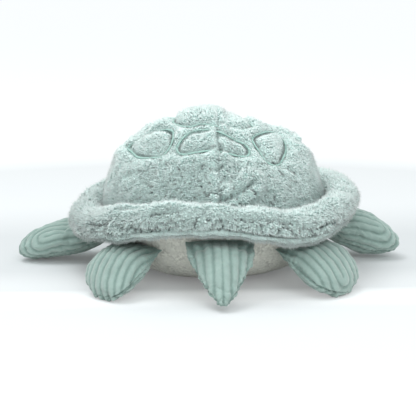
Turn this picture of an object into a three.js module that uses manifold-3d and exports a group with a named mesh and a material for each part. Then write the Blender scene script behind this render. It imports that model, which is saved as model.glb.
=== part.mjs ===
// A stuffed sea turtle: a domed plush shell with a stuffed rim, a cream belly, four corduroy
// flippers, a corduroy tail and a head. Millimetres, +Z up, +Y towards the head. The origin is
// the middle of the flat patch on which the belly rests.
import * as THREE from "three";
import { mergeVertices } from "three/addons/utils/BufferGeometryUtils.js";
import Module from "manifold-3d";

const wasm = await Module();
wasm.setup();

// Shell and belly
const shellHalfWidth = 128.5;
const shellHalfLength = 136;
const domeWidthShare = 0.7626;
const domeTop = 144.5;
const seamHeight = 58;
const plushThickness = 4;
const bellyFlattening = 0.5;
const bellyRoundness = 3.6;
const seamGap = 0.3;

// Stuffed rim: its middle follows a wave, high behind and over the front flippers, low right of
// the tail and at the left, where it also hangs outwards. Angles run round the shell from behind,
// positive on the right
const rimHeight = 29;
const rimDroop = 1;
const rimRightLift = 5.5;
const rimRearLift = 10;
const rimRearLiftAngle = THREE.MathUtils.degToRad(-12);
const rimRearLiftSpread = THREE.MathUtils.degToRad(25);
const rimDip = 5.5;
const rimDipAngle = THREE.MathUtils.degToRad(35);
const rimDipSpread = THREE.MathUtils.degToRad(15);
const rimRightShoulder = 11;
const rimRightShoulderAngle = THREE.MathUtils.degToRad(118);
const rimRightShoulderSpread = THREE.MathUtils.degToRad(26);
const rimLeftShoulder = 9;
const rimLeftShoulderAngle = THREE.MathUtils.degToRad(-130);
const rimLeftShoulderSpread = THREE.MathUtils.degToRad(24);
const rimLeftDroop = 3;
const rimLeftTilt = 5;
const rimLeftAngle = THREE.MathUtils.degToRad(-76);
const rimLeftSpread = THREE.MathUtils.degToRad(19);
const rimLipAngle = THREE.MathUtils.degToRad(-36);
const rimPinchShare = 0.12;
const rimPinchSpread = THREE.MathUtils.degToRad(7);

// Corduroy forms: sizes of each, and the shares that shape them from the seam to the tip. The
// right rear flipper lies further out than the left one, and the right front one hangs steeper.
const corduroyThickness = 2;
const ovalPower = 1.2;
const noseAngles = [80, 55, 28].map(THREE.MathUtils.degToRad);

const rearFlipper = {
  seatAngle: THREE.MathUtils.degToRad(44),
  seatHeight: 36.6,
  pitch: THREE.MathUtils.degToRad(25),
  length: 57,
  width: 58,
  thickness: 29,
  rootThickness: 8,
  sweep: 10,
  rise: -4.5,
  lengthShares: [0, 0.12, 0.28, 0.46, 0.64, 0.79, 0.9, 0.97, 1],
  widthShares: [0.92, 0.96, 0.99, 1, 0.98, 0.88, 0.7, 0.46, 0.24],
  thicknessShares: [0, 0.6, 0.88, 1, 0.96, 0.82, 0.63, 0.44, 0.24],
  riseShares: [0, 0, 0.05, 0.15, 0.35, 0.58, 0.8, 0.94, 1],
};
const rearRightFlipper = { ...rearFlipper, sweep: 2 };
const frontFlipper = {
  seatAngle: THREE.MathUtils.degToRad(110),
  seatHeight: 31,
  pitch: THREE.MathUtils.degToRad(8),
  length: 87,
  width: 60,
  thickness: 35,
  rootThickness: 8,
  sweep: 21,
  rise: -6,
  lengthShares: [0, 0.1, 0.23, 0.42, 0.62, 0.78, 0.9, 0.97, 1],
  widthShares: [0.74, 0.84, 0.93, 1, 0.98, 0.88, 0.68, 0.44, 0.22],
  thicknessShares: [0, 0.4, 0.68, 1, 0.96, 0.84, 0.67, 0.46, 0.24],
  riseShares: [0, 0, 0.05, 0.17, 0.38, 0.6, 0.81, 0.95, 1],
};
const frontRightFlipper = {
  ...frontFlipper,
  seatHeight: 39.5,
  pitch: THREE.MathUtils.degToRad(15),
  length: 80,
  thickness: 40,
  rise: -4,
  thicknessShares: [0, 0.34, 0.6, 0.93, 1, 0.79, 0.58, 0.4, 0.21],
};
const tail = {
  seatAngle: 0,
  seatHeight: 45,
  pitch: THREE.MathUtils.degToRad(30),
  length: 63,
  width: 60,
  thickness: 20,
  rootThickness: 8,
  rise: -7,
  lengthShares: [0, 0.15, 0.3, 0.45, 0.6, 0.74, 0.86, 0.95, 1],
  widthShares: [0.96, 0.97, 0.9, 0.81, 0.68, 0.53, 0.36, 0.21, 0.09],
  thicknessShares: [0, 0.78, 0.98, 1, 0.94, 0.82, 0.62, 0.42, 0.24],
  riseShares: [0, 0.02, 0.08, 0.19, 0.35, 0.54, 0.74, 0.91, 1],
};
const head = {
  seatAngle: Math.PI,
  seatHeight: 30,
  pitch: 0,
  length: 93,
  width: 72,
  thickness: 58,
  rootThickness: 24,
  rise: 11,
  lengthShares: [0, 0.12, 0.24, 0.36, 0.48, 0.62, 0.77, 0.9, 0.97, 1],
  widthShares: [0.72, 0.74, 0.78, 0.88, 0.97, 1, 0.92, 0.7, 0.44, 0.22],
  thicknessShares: [0, 0.44, 0.54, 0.76, 0.93, 1, 0.92, 0.7, 0.44, 0.22],
  riseShares: [0, 0.06, 0.3, 0.68, 0.92, 1, 0.96, 0.88, 0.8, 0.78],
};
const chinSeamDrop = 9;
const eyeWidth = 9;
const eyeHeight = 12;
const eyeThickness = 1.2;
const eyeAlong = 68;
const eyeRise = 5;

// Facets
const bodySegments = 36;
const rimSegments = 48;
const domeSteps = 10;
const bellySteps = 8;
const rimSteps = 12;
const formSegments = 16;
const mergeTolerance = 1e-4;

// Sizes that follow from the ones above
const lengthStretch = shellHalfLength / shellHalfWidth;
const domeHalfWidth = shellHalfWidth * domeWidthShare;
const rimHalfWidth = (shellHalfWidth - domeHalfWidth - seamGap) / 2;
const rimHalfHeight = rimHeight / 2;
const rimRadius = shellHalfWidth - rimHalfWidth;
const rimMiddle = seamHeight - rimDroop;
const bellyDepth = seamHeight + bellyFlattening;

// Materials
function cloth(color, roughness) {
  return new THREE.MeshStandardMaterial({ color, roughness, metalness: 0 });
}
const plush = () => cloth(0x9dbab2, 0.95);
const lipPlush = () => cloth(0xa3c2ba, 0.9);
const corduroy = () => cloth(0x9ccabd, 0.85);
const creamPile = () => cloth(0xe9e6df, 0.92);
const stuffing = () => cloth(0xf4f3ef, 1);
const thread = () => cloth(0x2e3438, 0.6);

// Solids and meshes
function solidOf(geometry) {
  geometry.deleteAttribute("normal");
  geometry.deleteAttribute("uv");
  const merged = mergeVertices(geometry, mergeTolerance);
  return new wasm.Manifold(
    new wasm.Mesh({
      numProp: 3,
      vertProperties: merged.attributes.position.array,
      triVerts: new Uint32Array(merged.index.array),
    }),
  );
}

function geometryOf(solid) {
  const { vertProperties, triVerts } = solid.getMesh();
  const geometry = new THREE.BufferGeometry();
  geometry.setAttribute("position", new THREE.BufferAttribute(new Float32Array(vertProperties), 3));
  geometry.setIndex(new THREE.BufferAttribute(new Uint32Array(triVerts), 1));
  return geometry;
}

function moveVertices(geometry, move) {
  const place = geometry.attributes.position;
  const point = new THREE.Vector3();
  for (let i = 0; i < place.count; i += 1) {
    point.fromBufferAttribute(place, i);
    move(point);
    place.setXYZ(i, point.x, point.y, point.z);
  }
  return geometry;
}

function meshOf(name, geometry, material) {
  const shown = geometry.toNonIndexed();
  shown.computeVertexNormals();
  const mesh = new THREE.Mesh(shown, material);
  mesh.name = name;
  return mesh;
}

// A half space whose face stands at the given distance along an axis, as a box wide enough for all
function halfSpace(axis, from, sign) {
  const reach = 4 * shellHalfLength;
  const box = new THREE.BoxGeometry(reach, reach, reach);
  box.translate(...axis.clone().multiplyScalar(from + (sign * reach) / 2).toArray());
  return solidOf(box);
}
const axisX = new THREE.Vector3(1, 0, 0);
const axisY = new THREE.Vector3(0, 1, 0);
const axisZ = new THREE.Vector3(0, 0, 1);

// Shell: revolved profiles, stretched along the turtle
function arc(middle, size, from, to, steps) {
  return Array.from({ length: steps + 1 }, (_, i) => {
    const angle = from + ((to - from) * i) / steps;
    return new THREE.Vector2(
      Math.max(middle.x + size.x * Math.cos(angle), 0),
      middle.y + size.y * Math.sin(angle),
    );
  });
}

function revolved(profile, segments) {
  const geometry = new THREE.LatheGeometry(profile, segments);
  geometry.rotateX(Math.PI / 2);
  geometry.scale(1, lengthStretch, 1);
  return geometry;
}

function domeArc(inset) {
  const middle = new THREE.Vector2(0, seamHeight + seamGap / 2);
  const size = new THREE.Vector2(domeHalfWidth - inset, domeTop - middle.y - inset);
  return arc(middle, size, 0, Math.PI / 2, domeSteps);
}

function bellyArc(inset) {
  const wide = domeHalfWidth - inset;
  const deep = bellyDepth - inset;
  const middle = seamHeight - seamGap / 2;
  const flatEdge = Math.acos((middle - inset) / deep);
  const curve = Array.from({ length: bellySteps }, (_, i) => {
    const angle = THREE.MathUtils.lerp(flatEdge, Math.PI / 2, i / (bellySteps - 1));
    const across = wide * Math.sin(angle) ** (2 / bellyRoundness);
    return new THREE.Vector2(across, i ? middle - deep * Math.cos(angle) : inset);
  });
  return [new THREE.Vector2(0, inset), ...curve];
}

function bellyRadius(height) {
  const depth = (seamHeight - height) / bellyDepth;
  return domeHalfWidth * (1 - depth * depth) ** (1 / bellyRoundness);
}

function closed(points) {
  return [...points, points[0].clone()];
}

function halves(solid) {
  return {
    left: solid.intersect(halfSpace(axisX, -seamGap / 2, -1)),
    right: solid.intersect(halfSpace(axisX, seamGap / 2, 1)),
  };
}

function makeDome() {
  const profile = closed([...domeArc(0), ...domeArc(plushThickness).reverse()]);
  const { left, right } = halves(solidOf(revolved(profile, bodySegments)));
  return [
    meshOf("dome_panel_left", geometryOf(left), plush()),
    meshOf("dome_panel_right", geometryOf(right), plush()),
  ];
}

function makeBelly() {
  const profile = closed([...bellyArc(0), ...bellyArc(plushThickness).reverse()]);
  return meshOf("belly_panel", geometryOf(solidOf(revolved(profile, bodySegments))), creamPile());
}

function makeBodyFilling() {
  const inset = plushThickness + seamGap;
  const profile = closed([...bellyArc(inset), ...domeArc(inset)]);
  return meshOf("body_filling", geometryOf(solidOf(revolved(profile, bodySegments))), stuffing());
}

// Rim: an oval section led round the dome, lifted by a wave and drawn in at its two seams
function swellOf(angle, middle, spread) {
  const off = Math.atan2(Math.sin(angle - middle), Math.cos(angle - middle));
  return Math.exp(-0.5 * (off / spread) ** 2);
}

function rimLift(angle) {
  return (
    rimRightLift * Math.sin(angle) +
    rimRearLift * swellOf(angle, rimRearLiftAngle, rimRearLiftSpread) +
    rimRightShoulder * swellOf(angle, rimRightShoulderAngle, rimRightShoulderSpread) +
    rimLeftShoulder * swellOf(angle, rimLeftShoulderAngle, rimLeftShoulderSpread) -
    rimLeftDroop * swellOf(angle, rimLeftAngle, rimLeftSpread) -
    rimDip * swellOf(angle, rimDipAngle, rimDipSpread)
  );
}

function shapeRim(point) {
  const round = Math.hypot(point.x, point.y / lengthStretch);
  const angle = Math.atan2(point.x, -point.y / lengthStretch);
  const seam = swellOf(angle, 0, rimPinchSpread) + swellOf(angle, Math.PI, rimPinchSpread);
  const pinch = 1 - rimPinchShare * seam;
  const inner = rimRadius - rimHalfWidth;
  const stretched = (inner + (round - inner) * pinch) / round;
  point.x *= stretched;
  point.y *= stretched;
  const tilt = rimLeftTilt * swellOf(angle, rimLeftAngle, rimLeftSpread);
  const hang = (tilt * (round - rimRadius)) / rimHalfWidth;
  point.z = rimMiddle + (point.z - rimMiddle) * pinch + rimLift(angle) - hang;
}

function rimArc(inset, from, to) {
  const middle = new THREE.Vector2(rimRadius, rimMiddle);
  const size = new THREE.Vector2(rimHalfWidth - inset, rimHalfHeight - inset);
  const steps = Math.max(3, Math.round((rimSteps * (to - from)) / (2 * Math.PI)));
  return arc(middle, size, from, to, steps);
}

function rimBand(from, to) {
  const gapAngle = seamGap / rimHalfHeight / 2;
  const outer = rimArc(0, from + gapAngle, to - gapAngle);
  const inner = rimArc(plushThickness, from + gapAngle, to - gapAngle);
  const band = revolved(closed([...outer, ...inner.reverse()]), rimSegments);
  return halves(solidOf(moveVertices(band, shapeRim)));
}

function makeRim() {
  const upper = rimBand(rimLipAngle, Math.PI);
  const lower = rimBand(-Math.PI, rimLipAngle);
  const ring = rimArc(plushThickness + seamGap, 0, 2 * Math.PI);
  const filling = solidOf(moveVertices(revolved(ring, rimSegments), shapeRim));
  return [
    meshOf("rim_upper_left", geometryOf(upper.left), plush()),
    meshOf("rim_upper_right", geometryOf(upper.right), plush()),
    meshOf("rim_lower_left", geometryOf(lower.left), lipPlush()),
    meshOf("rim_lower_right", geometryOf(lower.right), lipPlush()),
    meshOf("rim_filling", geometryOf(filling), stuffing()),
  ];
}

// Stuffed forms: oval sections from a round seam edge at the body to the tip. Local X runs along
// the form, Y across it and Z up, and the seam edge is round about the Y axis through the origin.
function sectionsOf(form, inset) {
  const rootRadius = form.rootThickness / 2 - inset;
  const rootHalf = (form.width * form.widthShares[0]) / 2 - inset;
  const nose = noseAngles.map((angle) => ({
    along: -rootRadius * Math.sin(angle),
    wide: rootHalf,
    high: rootRadius * Math.cos(angle),
  }));
  const rest = form.lengthShares.map((share, i) => ({
    along: share * (form.length - inset),
    wide: (form.width * form.widthShares[i]) / 2 - inset,
    high: Math.max((form.thickness * form.thicknessShares[i]) / 2 - inset, rootRadius),
  }));
  return [...nose, ...rest];
}

function stuffedForm(form, inset) {
  const sections = sectionsOf(form, inset);
  const last = sections.length - 1;
  const outline = sections.map((_, i) => new THREE.Vector2(1, i));
  const profile = [new THREE.Vector2(0, 0), ...outline, new THREE.Vector2(0, last)];
  const geometry = new THREE.LatheGeometry(profile, formSegments);
  return moveVertices(geometry, (point) => {
    const { along, wide, high } = sections[Math.round(point.y)];
    const across = point.x;
    const up = point.z;
    point.set(along, wide * across, -high * Math.sign(up) * Math.abs(up) ** ovalPower);
  });
}

function shareAt(form, shares, along) {
  const t = THREE.MathUtils.clamp(along / form.length, 0, 1);
  const next = form.lengthShares.findIndex((share) => share >= t);
  if (next < 1) {
    return shares[0];
  }
  const from = form.lengthShares[next - 1];
  const part = (t - from) / (form.lengthShares[next] - from);
  return THREE.MathUtils.lerp(shares[next - 1], shares[next], part);
}

function bend(form, side) {
  const sweep = form.sweep ?? 0;
  return (point) => {
    const t = THREE.MathUtils.clamp(point.x / form.length, 0, 1);
    point.y -= side * sweep * t * t;
    point.z += form.rise * shareAt(form, form.riseShares, point.x);
  };
}

// The seam edge of a form touches the belly at its seat height and points straight out from it
function seated(form, side, meshes) {
  const height = form.seatHeight;
  const round = bellyRadius(height);
  const slope = (bellyRadius(height + seamGap) - bellyRadius(height - seamGap)) / (2 * seamGap);
  const angle = side * form.seatAngle;
  const seat = new THREE.Vector3(Math.sin(angle), -lengthStretch * Math.cos(angle), 0);
  seat.multiplyScalar(round).setZ(height);
  const outward = new THREE.Vector3(Math.sin(angle), -Math.cos(angle) / lengthStretch, -slope);
  outward.normalize();
  const tilt = new THREE.Group();
  tilt.rotation.y = form.pitch;
  tilt.add(...meshes);
  const turn = new THREE.Group();
  turn.rotation.z = Math.atan2(outward.y, outward.x);
  turn.position.copy(seat).addScaledVector(outward, form.rootThickness / 2 + seamGap);
  turn.add(tilt);
  return turn;
}

function twoPanels(name, form, side) {
  const shell = solidOf(stuffedForm(form, 0)).subtract(solidOf(stuffedForm(form, corduroyThickness)));
  const upper = geometryOf(shell.intersect(halfSpace(axisZ, seamGap / 2, 1)));
  const lower = geometryOf(shell.intersect(halfSpace(axisZ, -seamGap / 2, -1)));
  const filling = geometryOf(solidOf(stuffedForm(form, corduroyThickness + seamGap)));
  const bent = bend(form, side);
  return seated(form, side, [
    meshOf(`${name}_upper`, moveVertices(upper, bent), corduroy()),
    meshOf(`${name}_lower`, moveVertices(lower, bent), corduroy()),
    meshOf(`${name}_filling`, moveVertices(filling, bent), stuffing()),
  ]);
}

// Head: two side panels that meet along the crown, a chin panel and two stitched eyes
function makeEye(side) {
  const over = solidOf(stuffedForm(head, -seamGap - eyeThickness));
  const under = solidOf(stuffedForm(head, -seamGap));
  const patch = new THREE.CylinderGeometry(1, 1, head.width, formSegments);
  patch.scale(eyeWidth / 2, 1, eyeHeight / 2);
  patch.translate(eyeAlong, (side * head.width) / 2, eyeRise);
  return over.subtract(under).intersect(solidOf(patch));
}

function makeHead() {
  const shell = solidOf(stuffedForm(head, 0)).subtract(solidOf(stuffedForm(head, corduroyThickness)));
  const above = shell.intersect(halfSpace(axisZ, -chinSeamDrop + seamGap / 2, 1));
  const parts = {
    head_left_panel: [above.intersect(halfSpace(axisY, seamGap / 2, 1)), corduroy()],
    head_right_panel: [above.intersect(halfSpace(axisY, -seamGap / 2, -1)), corduroy()],
    head_chin_panel: [shell.intersect(halfSpace(axisZ, -chinSeamDrop - seamGap / 2, -1)), creamPile()],
    head_filling: [solidOf(stuffedForm(head, corduroyThickness + seamGap)), stuffing()],
    eye_left: [makeEye(1), thread()],
    eye_right: [makeEye(-1), thread()],
  };
  const bent = bend(head, 1);
  const meshes = Object.entries(parts).map(([name, [solid, material]]) =>
    meshOf(name, moveVertices(geometryOf(solid), bent), material),
  );
  return seated(head, 1, meshes);
}

const turtle = new THREE.Group();
turtle.add(...makeDome(), makeBelly(), makeBodyFilling(), ...makeRim());
turtle.add(twoPanels("rear_left", rearFlipper, -1));
turtle.add(twoPanels("rear_right", rearRightFlipper, 1));
turtle.add(twoPanels("front_left", frontFlipper, -1));
turtle.add(twoPanels("front_right", frontRightFlipper, 1));
turtle.add(twoPanels("tail", tail, 1));
turtle.add(makeHead());

export default turtle;
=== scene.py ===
"""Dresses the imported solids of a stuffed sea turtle: a furry domed shell with a stuffed rim, a
cream belly, corduroy flippers, tail and head, stitched scutes, and the studio round it."""

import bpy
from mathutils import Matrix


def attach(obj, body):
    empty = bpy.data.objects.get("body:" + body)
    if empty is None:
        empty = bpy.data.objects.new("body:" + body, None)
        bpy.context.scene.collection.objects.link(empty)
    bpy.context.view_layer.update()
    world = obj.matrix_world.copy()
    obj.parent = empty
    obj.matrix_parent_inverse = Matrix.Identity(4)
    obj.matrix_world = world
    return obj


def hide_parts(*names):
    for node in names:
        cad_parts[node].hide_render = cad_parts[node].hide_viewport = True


bl_info = {
    "name": "Stuffed Turtle",
    "version": (1, 0, 0),
    "blender": (4, 5, 0),
    "location": "View3D > Sidebar > Turtle",
    "description": "Dresses a stuffed sea turtle in fur, corduroy, belly pile and thread",
    "category": "Add Mesh",
}

import math

import bmesh
import bpy
import numpy as np
from bpy.props import FloatProperty, FloatVectorProperty, IntProperty, PointerProperty
from bpy.types import Operator, Panel, PropertyGroup
from mathutils import Matrix, Vector
from mathutils.kdtree import KDTree

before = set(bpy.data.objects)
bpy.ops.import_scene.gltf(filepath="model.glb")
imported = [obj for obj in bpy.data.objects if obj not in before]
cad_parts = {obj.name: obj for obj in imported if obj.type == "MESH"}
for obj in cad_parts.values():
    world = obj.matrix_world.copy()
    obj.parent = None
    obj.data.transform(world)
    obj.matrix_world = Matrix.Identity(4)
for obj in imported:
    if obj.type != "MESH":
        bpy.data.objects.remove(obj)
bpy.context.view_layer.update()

MM = 0.001
TURN = 2 * math.pi
DEGREE = math.pi / 180


def length(name, description, default):
    """A size in metres."""
    return FloatProperty(name=name, description=description, default=default, unit="LENGTH", precision=5)


def angle(name, description, degrees):
    """An angle, shown in degrees."""
    return FloatProperty(name=name, description=description, default=math.radians(degrees), unit="ROTATION")


def share(name, description, default):
    """A plain ratio."""
    return FloatProperty(name=name, description=description, default=default, subtype="FACTOR")


def paint(name, description, default):
    """A base colour, in linear light."""
    return FloatVectorProperty(
        name=name, description=description, default=default, subtype="COLOR", size=3, min=0, max=1
    )


class ShellSizes(PropertyGroup):
    half_width: length("Half width", "From the middle of the shell to the side of its rim", 0.1285)
    half_length: length("Half length", "From the middle of the shell to the end of its rim", 0.136)
    dome_share: share("Dome share", "Half width of the dome as a share of the shell's", 0.7626)
    dome_top: length("Dome top", "Height of the dome", 0.1445)
    seam_height: length("Seam height", "Height of the seam between dome and belly", 0.058)
    belly_flattening: length("Belly flattening", "How far the belly is flattened by the floor", 0.0005)
    belly_roundness: share("Belly roundness", "Power of the curve of the belly's side", 3.6)
    seam_gap: length("Seam gap", "Width of the gap at a seam", 0.0003)


class RimSizes(PropertyGroup):
    height: length("Rim height", "Height of the stuffed rim", 0.029)
    droop: length("Droop", "How far the middle of the rim lies under the dome seam", 0.001)
    right_lift: length("Right lift", "Lift of the rim on the right", 0.0055)
    rear_lift: length("Rear lift", "Lift of the rim behind", 0.01)
    rear_lift_angle: angle("Rear lift place", "Where the rear lift is highest", -12)
    rear_lift_spread: angle("Rear lift spread", "How wide the rear lift is", 25)
    dip: length("Dip", "Depth of the dip beside the tail", 0.0055)
    dip_angle: angle("Dip place", "Where the dip is lowest", 35)
    dip_spread: angle("Dip spread", "How wide the dip is", 15)
    right_shoulder: length("Right shoulder", "Rise of the rim over the right front flipper", 0.011)
    right_shoulder_angle: angle("Right shoulder place", "Where the right shoulder is highest", 118)
    right_shoulder_spread: angle("Right shoulder spread", "How wide the right shoulder is", 26)
    left_shoulder: length("Left shoulder", "Rise of the rim over the left front flipper", 0.009)
    left_shoulder_angle: angle("Left shoulder place", "Where the left shoulder is highest", -130)
    left_shoulder_spread: angle("Left shoulder spread", "How wide the left shoulder is", 24)
    left_droop: length("Left droop", "How far the rim hangs at its left end", 0.003)
    left_tilt: length("Left tilt", "How far the rim's edge turns down at its left end", 0.005)
    left_angle: angle("Left end", "Where the rim hangs and tilts most", -76)
    left_spread: angle("Left end spread", "How wide the hanging left end is", 19)
    lip_angle: angle("Lip seam", "Where the lip seam runs round the section of the rim", -29)
    pinch_share: share("Pinch", "How far the rim is drawn in at its two end seams", 0.12)
    pinch_spread: angle("Pinch spread", "How wide the drawn-in part is", 7)


class FurSizes(PropertyGroup):
    pile: length("Pile", "Length of the fur", 0.0036)
    lock: length("Lock width", "Width of a full lock of fur", 0.0016)
    hair: length("Hair width", "Width of a thin hair at its root", 0.0005)
    locks: FloatProperty(name="Locks", description="Full locks on a square metre of cloth", default=0.6e6)
    hairs: FloatProperty(name="Hairs", description="Thin hairs on a square metre of cloth", default=1.0e6)
    tuft: length("Tuft", "Width of a tuft", 0.0036)
    clump: length("Clump", "Width of the clumps into which the locks gather", 0.0023)
    tuft_height: length("Tuft height", "Height of a tuft", 0.0013)
    line_depth: length("Line depth", "How deep the stitched lines lie in the fur", 0.003)
    line_width: length("Line width", "Half width of the valley along a stitched line", 0.0026)
    stitch: length("Stitch", "Distance from one satin stitch to the next", 0.0008)
    slant: angle("Slant", "How far a satin stitch slants from straight across", 25)
    thread: length("Thread", "Width of the satin stitches", 0.0026)
    thread_depth: length("Thread depth", "How deep the thread lies in the fur", 0.0029)
    seed: IntProperty(name="Seed", description="Number that starts the random choices", default=7)


class CorduroySizes(PropertyGroup):
    pitch: length("Wale pitch", "Distance from one wale to the next", 0.0076)
    height: length("Wale height", "Height of a wale", 0.0015)
    seam_depth: length("Seam depth", "How deep a seam lies", 0.0012)
    seam_width: length("Seam width", "Half width of the flat band along a seam", 0.003)


class TurtleColours(PropertyGroup):
    fur_tip: paint("Fur tip", "Colour of the tips of the fur", (0.8, 1.0, 0.965))
    fur_root: paint("Fur root", "Colour of the roots of the fur", (0.57, 0.79, 0.755))
    lip: paint("Lip", "Colour of the lower lip of the rim", (0.76, 0.91, 0.885))
    ridge: paint("Wale", "Colour of the corduroy's wales", (0.305, 0.42, 0.387))
    # Painted shade: the groove colour is darker than the wales' to stand for the shade between them
    valley: paint("Groove", "Colour between the wales", (0.2, 0.295, 0.268))
    cream: paint("Cream", "Colour of the belly", (0.76, 0.78, 0.71))
    thread: paint("Thread", "Colour of the stitched lines", (0.42, 0.66, 0.6))
    eye: paint("Eye", "Colour of the eyes' thread", (0.02, 0.022, 0.025))
    floor: paint("Floor", "Colour of the floor, by which it lights the turtle", (0.93, 0.93, 0.93))
    floor_seen: paint("Shaded floor", "Colour of the shade on the floor", (0.565, 0.603, 0.617))


def settings():
    return bpy.context.scene


def stretch():
    """How much longer than wide the shell is."""
    shell = settings().turtle_shell
    return shell.half_length / shell.half_width


def dome_half_width():
    shell = settings().turtle_shell
    return shell.half_width * shell.dome_share


# Noise: smooth bumps and tufts, the same on every run


HASH_AXES = np.array([73856093, 19349663, 83492791])
HASH_SEED, HASH_MIX, HASH_MASK = 2654435761, 0x45D9F3B, 0xFFFFFFFF


def lattice(cell, seed):
    """One number from 0 to 1 for each whole-numbered cell."""
    key = (cell.astype(np.int64) * HASH_AXES).sum(axis=-1)
    key = (key ^ seed * HASH_SEED) & HASH_MASK
    for _ in range(2):
        key = ((key ^ (key >> 16)) * HASH_MIX) & HASH_MASK
    return (key ^ (key >> 16)) / HASH_MASK


def waves(points, size, seed):
    """Smooth noise from -1 to 1, with bumps about one size wide."""
    scaled = points / size
    cell = np.floor(scaled)
    part = scaled - cell
    part = part * part * (3 - 2 * part)
    total = np.zeros(len(points))
    for corner in np.ndindex(2, 2, 2):
        weight = np.prod(np.where(corner, part, 1 - part), axis=1)
        total += weight * lattice(cell + corner, seed)
    return 2 * total - 1


def tufts(points, size, seed):
    """Rounded tufts from 0 at their edges to 1 in their middles, one size wide."""
    scaled = points / size
    cell = np.floor(scaled)
    nearest = np.full(len(points), np.inf)
    for corner in np.ndindex(3, 3, 3):
        other = cell + corner - 1
        middle = other + np.stack([lattice(other, seed + i) for i in range(3)], axis=1)
        nearest = np.minimum(nearest, ((scaled - middle) ** 2).sum(axis=1))
    return 1 - np.clip(nearest, 0, 1)


def swell(x, middle, spread):
    """1 in the middle and less to both sides."""
    return np.exp(-0.5 * ((x - middle) / spread) ** 2)


def welt(distance, height, middle, spread):
    """A swell of the given height beside a line."""
    return height * swell(distance, middle, spread)


def groove(distance, width):
    """1 on a line and less to both sides, within about the given half width."""
    return np.exp(-((distance / width) ** 2))


def valley(distance, depth, width):
    """A groove of the given depth along a line."""
    return depth * groove(distance, width)


def ease(x, low, high):
    """0 below low, 1 above high, smooth between."""
    t = np.clip((x - low) / (high - low), 0, 1)
    return t * t * (3 - 2 * t)


def through(x, places, values):
    """A smooth curve through given values that doesn't overshoot them."""
    places, values = np.array(places, float), np.array(values, float)
    step, rise = np.diff(places), np.diff(values)
    slope = rise / step
    mean = np.zeros(len(places))
    same = slope[1:] * slope[:-1] > 0
    mean[1:-1][same] = 2 * slope[1:][same] * slope[:-1][same] / (slope[1:] + slope[:-1])[same]
    mean[0], mean[-1] = slope[0], slope[-1]
    i = np.clip(np.searchsorted(places, x, side="right") - 1, 0, len(step) - 1)
    t = (x - places[i]) / step[i]
    a, b = values[i], values[i + 1]
    return (
        a * (1 + 2 * t) * (1 - t) ** 2
        + b * t * t * (3 - 2 * t)
        + step[i] * (mean[i] * t * (1 - t) ** 2 - mean[i + 1] * t * t * (1 - t))
    )


# Meshes


def read_points(mesh):
    points = np.empty(len(mesh.vertices) * 3)
    mesh.vertices.foreach_get("co", points)
    return points.reshape(-1, 3)


def write_points(mesh, points):
    mesh.vertices.foreach_set("co", points.astype(np.float32).ravel())
    mesh.update()


def tree_of(points):
    """A tree that finds the nearest of the points."""
    tree = KDTree(len(points))
    for i, point in enumerate(points):
        tree.insert(point, i)
    tree.balance()
    return tree


def mark(mesh, name, values):
    """Keeps one number for each vertex, for materials and the fur to read."""
    attribute = mesh.attributes.get(name) or mesh.attributes.new(name, "FLOAT", "POINT")
    attribute.data.foreach_set("value", np.asarray(values, np.float32))


def mesh_of(name, bm):
    for face in bm.faces:
        face.smooth = True
    mesh = bpy.data.meshes.new(name)
    bm.to_mesh(mesh)
    bm.free()
    return mesh


def piece_of(name, mesh, *materials):
    piece = bpy.data.objects.new(name, mesh)
    bpy.context.scene.collection.objects.link(piece)
    for material in materials:
        mesh.materials.append(material)
    return piece


NO_NORMAL = 1e-14
JOINED, SLIVER = 0.00004, 0.00001


def grid_mesh(name, columns, rows, place, relief=None, wraps=False):
    """A closed cloth form: a grid whose columns go round the form and whose rows go along it.
    place gives the points from two numbers from 0 to 1, and relief how far each is raised."""
    bm = bmesh.new()
    bmesh.ops.create_grid(bm, x_segments=columns, y_segments=rows, size=0.5)
    mesh = mesh_of(name, bm)
    flat = read_points(mesh)
    u, v = flat[:, 0] + 0.5, flat[:, 1] + 0.5
    points = place(u, v)
    marks = {}
    if relief:
        grid = points.reshape(rows + 1, columns + 1, 3)
        across = np.gradient(grid, axis=1)
        across[:, 0] = across[:, -1] = grid[:, 1] - grid[:, -2]
        forward = np.gradient(grid, axis=0)
        if wraps:
            forward[0] = forward[-1] = grid[1] - grid[-2]
        normal = np.cross(across, forward).reshape(-1, 3)
        size = np.linalg.norm(normal, axis=1, keepdims=True)
        normal = np.where(size > NO_NORMAL, normal / np.maximum(size, NO_NORMAL), 0)
        raised, marks = relief(points, u, v, grid)
        points = points + normal * raised[:, None]
    write_points(mesh, points)
    for key, values in marks.items():
        mark(mesh, key, values)
    return close_up(mesh)


def close_up(mesh):
    """Joins the points that lie together and turns all faces outwards."""
    bm = bmesh.new()
    bm.from_mesh(mesh)
    bmesh.ops.remove_doubles(bm, verts=bm.verts, dist=JOINED)
    bmesh.ops.dissolve_degenerate(bm, edges=bm.edges, dist=SLIVER)
    bmesh.ops.recalc_face_normals(bm, faces=bm.faces)
    bm.to_mesh(mesh)
    bm.free()
    return mesh


# Cloth simulation: what the filling does to each cloth form between its seams


class StuffingSizes(PropertyGroup):
    pressure: FloatProperty(name="Pressure", description="Press of the filling on the cloth", default=12.0)
    ease: share("Ease", "How much larger than its seams the cloth is cut", 0.03)
    frames: IntProperty(name="Frames", description="Steps of the simulation", default=20)


CLOTH = {
    "quality": 5, "mass": 0.001, "tension_stiffness": 15, "compression_stiffness": 15, "shear_stiffness": 5,
    "bending_stiffness": 0.5, "vertex_group_mass": "held", "use_pressure": True,
}


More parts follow.
